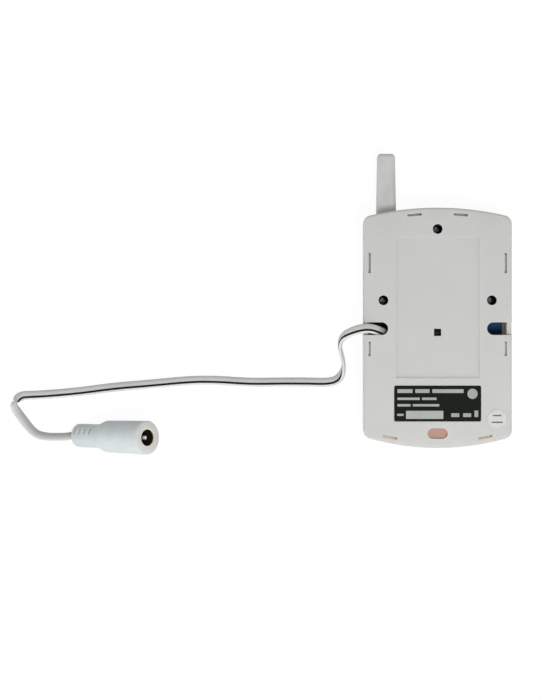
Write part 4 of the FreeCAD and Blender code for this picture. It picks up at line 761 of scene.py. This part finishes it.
class SENSOR_PG_case(bpy.types.PropertyGroup):
    """Colours of the case, the board and the in-line socket, with the painted light and shade on the
    case.
    """

    shell: FloatVectorProperty(name="Case", description="Colour of the case plastic",
                               subtype="COLOR", size=3, default=(0.60, 0.605, 0.585))
    # A little lighter than the case plastic as painted light, against the shade that falls on the
    # stub beside the case wall
    antenna: FloatVectorProperty(name="Antenna", description="Colour of the antenna stub",
                                 subtype="COLOR", size=3, default=(0.62, 0.625, 0.605))
    # Painted warm light on the walls and floor inside the case, not the plastic's own colour
    inside: FloatVectorProperty(name="Inside", description="Tint of the case plastic inside",
                                subtype="COLOR", size=3, default=(0.95, 0.88, 0.80))
    # Painted light in the hook slots, lighter and warmer in the lower ones
    slot: FloatVectorProperty(name="Upper slots", description="Tint inside the upper hook slots",
                              subtype="COLOR", size=3, default=(0.80, 0.79, 0.765))
    slot_low: FloatVectorProperty(name="Lower slots",
                                  description="Tint inside the lower hook slots",
                                  subtype="COLOR", size=3, default=(0.78, 0.725, 0.67))
    seep: FloatProperty(name="Seeping light", description="Light that reaches the inside walls",
                        default=0.035, min=0.0, max=1.0)
    seep_low: FloatProperty(name="Seeping light, low slots", default=0.10, min=0.0, max=1.0,
                            description="Light that reaches the lower hook slots' thin walls")
    # Painted warm, dim light on the oval pocket's thin floor
    pocket: FloatVectorProperty(name="Pocket", description="Tint of the oval pocket's thin floor",
                                subtype="COLOR", size=3, default=(0.53, 0.285, 0.228))
    # Painted shadow in the deep screw bores, not the plastic's colour
    bore: FloatVectorProperty(name="Bores", description="Shade of the deep screw bores' walls",
                              subtype="COLOR", size=3, default=(0.06, 0.07, 0.075))
    board: FloatVectorProperty(name="Board", description="Colour of the board's lacquer",
                               subtype="COLOR", size=3, default=(0.001, 0.04, 0.125))
    socket: FloatVectorProperty(name="Socket", description="Colour of the in-line socket",
                                subtype="COLOR", size=3, default=(0.63, 0.68, 0.685))
    socket_face: FloatVectorProperty(name="Socket face", description="Colour of its end face",
                                     subtype="COLOR", size=3, default=(0.70, 0.695, 0.69))


class SENSOR_PG_lead(bpy.types.PropertyGroup):
    """Sizes and colours of the flat lead."""

    width: FloatProperty(name="Width", description="Width of the flat lead", default=0.0034,
                         min=0.001, max=0.008, unit="LENGTH")
    thickness: FloatProperty(name="Thickness", description="Thickness of the flat lead",
                             default=0.0015, min=0.0008, max=0.005, unit="LENGTH")
    groove: FloatProperty(name="Groove", description="Share of the thickness taken by the groove",
                          default=0.16, min=0.0, max=0.5, subtype="FACTOR")
    colour: FloatVectorProperty(name="Jacket", description="Colour of the jacket",
                                subtype="COLOR", size=3, default=(0.56, 0.56, 0.545))
    # Painted highlight: the colour of the jacket's lit edge beside the stripe
    edge: FloatVectorProperty(name="Edge", description="Colour of the jacket's edge by the stripe",
                              subtype="COLOR", size=3, default=(0.74, 0.745, 0.73))
    stripe: FloatVectorProperty(name="Stripe", description="Colour of the stripe on one core",
                                subtype="COLOR", size=3, default=(0.004, 0.004, 0.004))


class SENSOR_PG_labels(bpy.types.PropertyGroup):
    """Colours of the rating plate and the sticker."""

    plate: FloatVectorProperty(name="Plate", description="Colour of the rating plate",
                               subtype="COLOR", size=3, default=(0.006, 0.008, 0.006))
    print_ink: FloatVectorProperty(name="Print", description="Colour of the plate's bars",
                                   subtype="COLOR", size=3, default=(0.44, 0.45, 0.43))
    field: FloatVectorProperty(name="Field", description="Colour of the plate's blank field",
                               subtype="COLOR", size=3, default=(0.49, 0.50, 0.47))
    sticker: FloatVectorProperty(name="Sticker", description="Colour of the round sticker",
                                 subtype="COLOR", size=3, default=(0.73, 0.74, 0.71))
    sticker_ink: FloatVectorProperty(name="Sticker print", description="Colour of its bars",
                                     subtype="COLOR", size=3, default=(0.14, 0.15, 0.15))


class SENSOR_PG_stage(bpy.types.PropertyGroup):
    """The light and the camera over the sensor."""

    camera_x: FloatProperty(name="Camera X", description="Place of the camera along X",
                            default=-0.06203, unit="LENGTH")
    camera_y: FloatProperty(name="Camera Y", description="Place of the camera along Y",
                            default=-0.0082, unit="LENGTH")
    camera_height: FloatProperty(name="Camera height", description="Height over the floor",
                                 default=1.0, unit="LENGTH")
    lens: FloatProperty(name="Lens", description="Focal length in millimetres on a 36 mm side",
                        default=135.67)
    sky: FloatProperty(name="Sky", description="Strength of the even white light", default=0.385)
    high: FloatProperty(name="High lamp", description="Power of the lamp overhead, in watts",
                        default=6.1)
    front: FloatProperty(name="Front lamp", description="Power of the low lamp in front, in watts",
                         default=1.2)
    side: FloatProperty(name="Side lamps", description="Power of each low lamp beside, in watts",
                        default=1.15)


class SENSOR_OT_case(bpy.types.Operator):
    """Finish of the two case shells, the antenna stub and the clear window"""

    bl_idname = "sensor.case_finish"
    bl_label = "Case"

    def execute(self, context):
        looks = context.scene.sensor_case
        shell = moulded_case("case plastic", looks)
        for node in ("rear_cover", "front_cover"):
            dress(node, shell)
        # The antenna stub takes the case plastic a little lighter: painted light against the shade
        # beside the case wall
        dress("antenna_sleeve", dull_moulding("antenna moulding", looks.antenna, 0.42, 0.012))
        dress("indicator_window", clear_resin("window resin", (0.8, 0.82, 0.83), 0.7))
        dress("cover_screws", plain_metal("dark plated steel", (0.085, 0.105, 0.118), 0.35), 50.0)
        return {"FINISHED"}


class SENSOR_OT_sound(bpy.types.Operator):
    """Finish of the microphone, its boot and its gauze, and of the two lamps"""

    bl_idname = "sensor.sound_finish"
    bl_label = "Microphone and lamps"

    def execute(self, context):
        dress("microphone", plain_metal("microphone can", (0.62, 0.62, 0.62), 0.28))
        dress("microphone_boot", dull_moulding("boot rubber", (0.03, 0.03, 0.03), 0.75))
        dress("sound_gauze", woven_gauze("inlet gauze", (0.05, 0.05, 0.055)))
        dress("power_lamp", clear_resin("green lamp resin", (0.1, 0.55, 0.2), 0.5))
        dress("alarm_lamp", clear_resin("red lamp resin", (0.7, 0.05, 0.04), 0.5))
        return {"FINISHED"}


class SENSOR_OT_board(bpy.types.Operator):
    """Finish of the boards, their chips, cans and connector"""

    bl_idname = "sensor.board_finish"
    bl_label = "Boards and parts"

    def execute(self, context):
        lacquer = solder_mask("board lacquer", context.scene.sensor_case.board)
        for node in ("circuit_board", "radio_board"):
            dress(node, lacquer)
        black = dull_moulding("chip moulding", (0.02, 0.02, 0.021), 0.45)
        for node in ("processor_chip", "amplifier_chip", "radio_chip", "voltage_regulator",
                     "input_diode", "radio_pin_strip", "tamper_switch"):
            dress(node, black)
        can = plain_metal("drawn can", (0.66, 0.66, 0.66), 0.25)
        for node in ("crystal", "radio_resonator", "switch_cover_plate"):
            dress(node, can)
        sleeve = dull_moulding("capacitor sleeve", (0.02, 0.02, 0.03), 0.25)
        for node in ("input_capacitor", "output_capacitor", "audio_capacitor"):
            dress(node, sleeve)
        nylon = dull_moulding("connector nylon", (0.72, 0.69, 0.6), 0.4)
        for node in ("power_header", "power_plug"):
            dress(node, nylon)
        dress("antenna_wire", plain_metal("copper wire", (0.8, 0.45, 0.28), 0.3))
        dress("tamper_stem", button_moulding("button moulding", (0.008, 0.0085, 0.008)))
        return {"FINISHED"}


class SENSOR_OT_socket(bpy.types.Operator):
    """Finish of the in-line power socket and its contacts"""

    bl_idname = "sensor.socket_finish"
    bl_label = "In-line socket"

    def execute(self, context):
        dress("socket_body", socket_moulding("socket moulding", context.scene.sensor_case), 50.0)
        dress("socket_contact", plain_metal("gilt contact", (0.95, 0.86, 0.50), 0.3))
        dress("socket_liner", dull_moulding("socket liner", (0.006, 0.006, 0.006), 0.6))
        dress("socket_pin", plain_metal("plated pin", (0.42, 0.41, 0.40), 0.3))
        return {"FINISHED"}


class SENSOR_OT_lead(bpy.types.Operator):
    """The flat lead from the board's plug to the in-line socket"""

    bl_idname = "sensor.lead"
    bl_label = "Flat lead"

    def execute(self, context):
        build_lead(context.scene.sensor_lead)
        return {"FINISHED"}


class SENSOR_OT_labels(bpy.types.Operator):
    """The rating plate and the round sticker, with blank shapes in place of print"""

    bl_idname = "sensor.labels"
    bl_label = "Labels"

    def execute(self, context):
        looks = context.scene.sensor_labels
        build_plate(looks)
        build_sticker(looks)
        return {"FINISHED"}


def seen_ray(tree):
    """One for rays that the camera, a gloss or a clear piece sends, and zero for lighting."""
    path = add(tree, "ShaderNodeLightPath")
    total = calculate(tree, "ADD", path.outputs["Is Camera Ray"], path.outputs["Is Glossy Ray"])
    total = calculate(tree, "ADD", total, path.outputs["Is Transmission Ray"])
    return calculate(tree, "MINIMUM", total, 1.0)


def build_floor():
    """A wide pale floor that lifts towards white where it is seen, and keeps the soft shadow."""
    sides = (-FLOOR_HALF, FLOOR_HALF)
    corners = np.array([[(x, y, FLOOR_LEVEL) for x in sides] for y in sides])
    floor = bpy.data.objects.new("floor", grid_mesh("floor", corners))
    bpy.context.scene.collection.objects.link(floor)
    finish = bpy.data.materials.new("floor")
    finish.use_nodes = True
    tree = finish.node_tree
    tree.nodes.remove(tree.nodes["Principled BSDF"])
    paint = add(tree, "ShaderNodeBsdfDiffuse")
    paint.inputs["Color"].default_value = FLOOR_PAINT
    glow = add(tree, "ShaderNodeEmission")
    glow.inputs["Strength"].default_value = FLOOR_WHITE
    mix = add(tree, "ShaderNodeMixShader")
    share = calculate(tree, "MULTIPLY", seen_ray(tree), FLOOR_SHARE)
    tree.links.new(share, mix.inputs["Fac"])
    tree.links.new(paint.outputs[0], mix.inputs[1])
    tree.links.new(glow.outputs[0], mix.inputs[2])
    tree.links.new(mix.outputs[0], tree.nodes["Material Output"].inputs["Surface"])
    floor.data.materials.append(finish)


def build_world(strength):
    """Even white light, seen as plain white."""
    world = bpy.data.worlds.new("studio")
    bpy.context.scene.world = world
    world.use_nodes = True
    tree = world.node_tree
    ground = tree.nodes["Background"]
    ground.inputs["Color"].default_value = (1.0, 1.0, 1.0, 1.0)
    level = spread(tree, seen_ray(tree), strength, 1.0)
    tree.links.new(level, ground.inputs["Strength"])


def build_lamp(name, spot, size, power):
    """A round soft lamp, turned to the sensor."""
    lamp = bpy.data.lights.new(name, "AREA")
    lamp.shape = "DISK"
    lamp.size = size
    lamp.energy = power
    holder = bpy.data.objects.new(name, lamp)
    bpy.context.scene.collection.objects.link(holder)
    holder.location = spot
    direction = Vector(LAMP_AIM) - Vector(spot)
    holder.rotation_euler = direction.to_track_quat("-Z", "Y").to_euler()


class SENSOR_OT_stage(bpy.types.Operator):
    """The floor, the light and the camera straight above"""

    bl_idname = "sensor.stage"
    bl_label = "Stage"

    def execute(self, context):
        stage = context.scene.sensor_stage
        build_floor()
        build_world(stage.sky)
        for name, (spot, size, power) in LAMPS.items():
            build_lamp(name, spot, size, getattr(stage, power))
        camera = bpy.data.cameras.new("camera")
        camera.lens = stage.lens
        camera.clip_start = 0.01
        holder = bpy.data.objects.new("camera", camera)
        context.scene.collection.objects.link(holder)
        holder.location = (stage.camera_x, stage.camera_y, stage.camera_height)
        context.scene.camera = holder
        context.scene.view_settings.view_transform = "Standard"
        return {"FINISHED"}


OPERATORS = (SENSOR_OT_stage, SENSOR_OT_lead, SENSOR_OT_case, SENSOR_OT_sound, SENSOR_OT_board,
             SENSOR_OT_socket, SENSOR_OT_labels)
GROUPS = {
    "sensor_case": SENSOR_PG_case,
    "sensor_lead": SENSOR_PG_lead,
    "sensor_labels": SENSOR_PG_labels,
    "sensor_stage": SENSOR_PG_stage,
}


class SENSOR_PT_panel(bpy.types.Panel):
    """Lists the sensor's pieces and their settings"""

    bl_label = "Glass break sensor"
    bl_idname = "SENSOR_PT_panel"
    bl_space_type = "VIEW_3D"
    bl_region_type = "UI"
    bl_category = "Sensor"

    def draw(self, context):
        layout = self.layout
        for operator in OPERATORS:
            layout.operator(operator.bl_idname)
        for name, group in GROUPS.items():
            settings = getattr(context.scene, name)
            box = layout.box()
            for key in group.__annotations__:
                box.prop(settings, key)


def register():
    """Adds the classes and their settings."""
    for name, group in GROUPS.items():
        bpy.utils.register_class(group)
        setattr(bpy.types.Scene, name, PointerProperty(type=group))
    for operator in OPERATORS:
        bpy.utils.register_class(operator)
    bpy.utils.register_class(SENSOR_PT_panel)


def unregister():
    """Takes them away again."""
    bpy.utils.unregister_class(SENSOR_PT_panel)
    for operator in reversed(OPERATORS):
        bpy.utils.unregister_class(operator)
    for name, group in GROUPS.items():
        delattr(bpy.types.Scene, name)
        bpy.utils.unregister_class(group)


def main():
    """Builds every piece in order."""
    register()
    bpy.ops.sensor.stage()
    bpy.ops.sensor.lead()
    bpy.ops.sensor.case_finish()
    bpy.ops.sensor.sound_finish()
    bpy.ops.sensor.board_finish()
    bpy.ops.sensor.socket_finish()
    bpy.ops.sensor.labels()


if __name__ == "__main__":
    main()
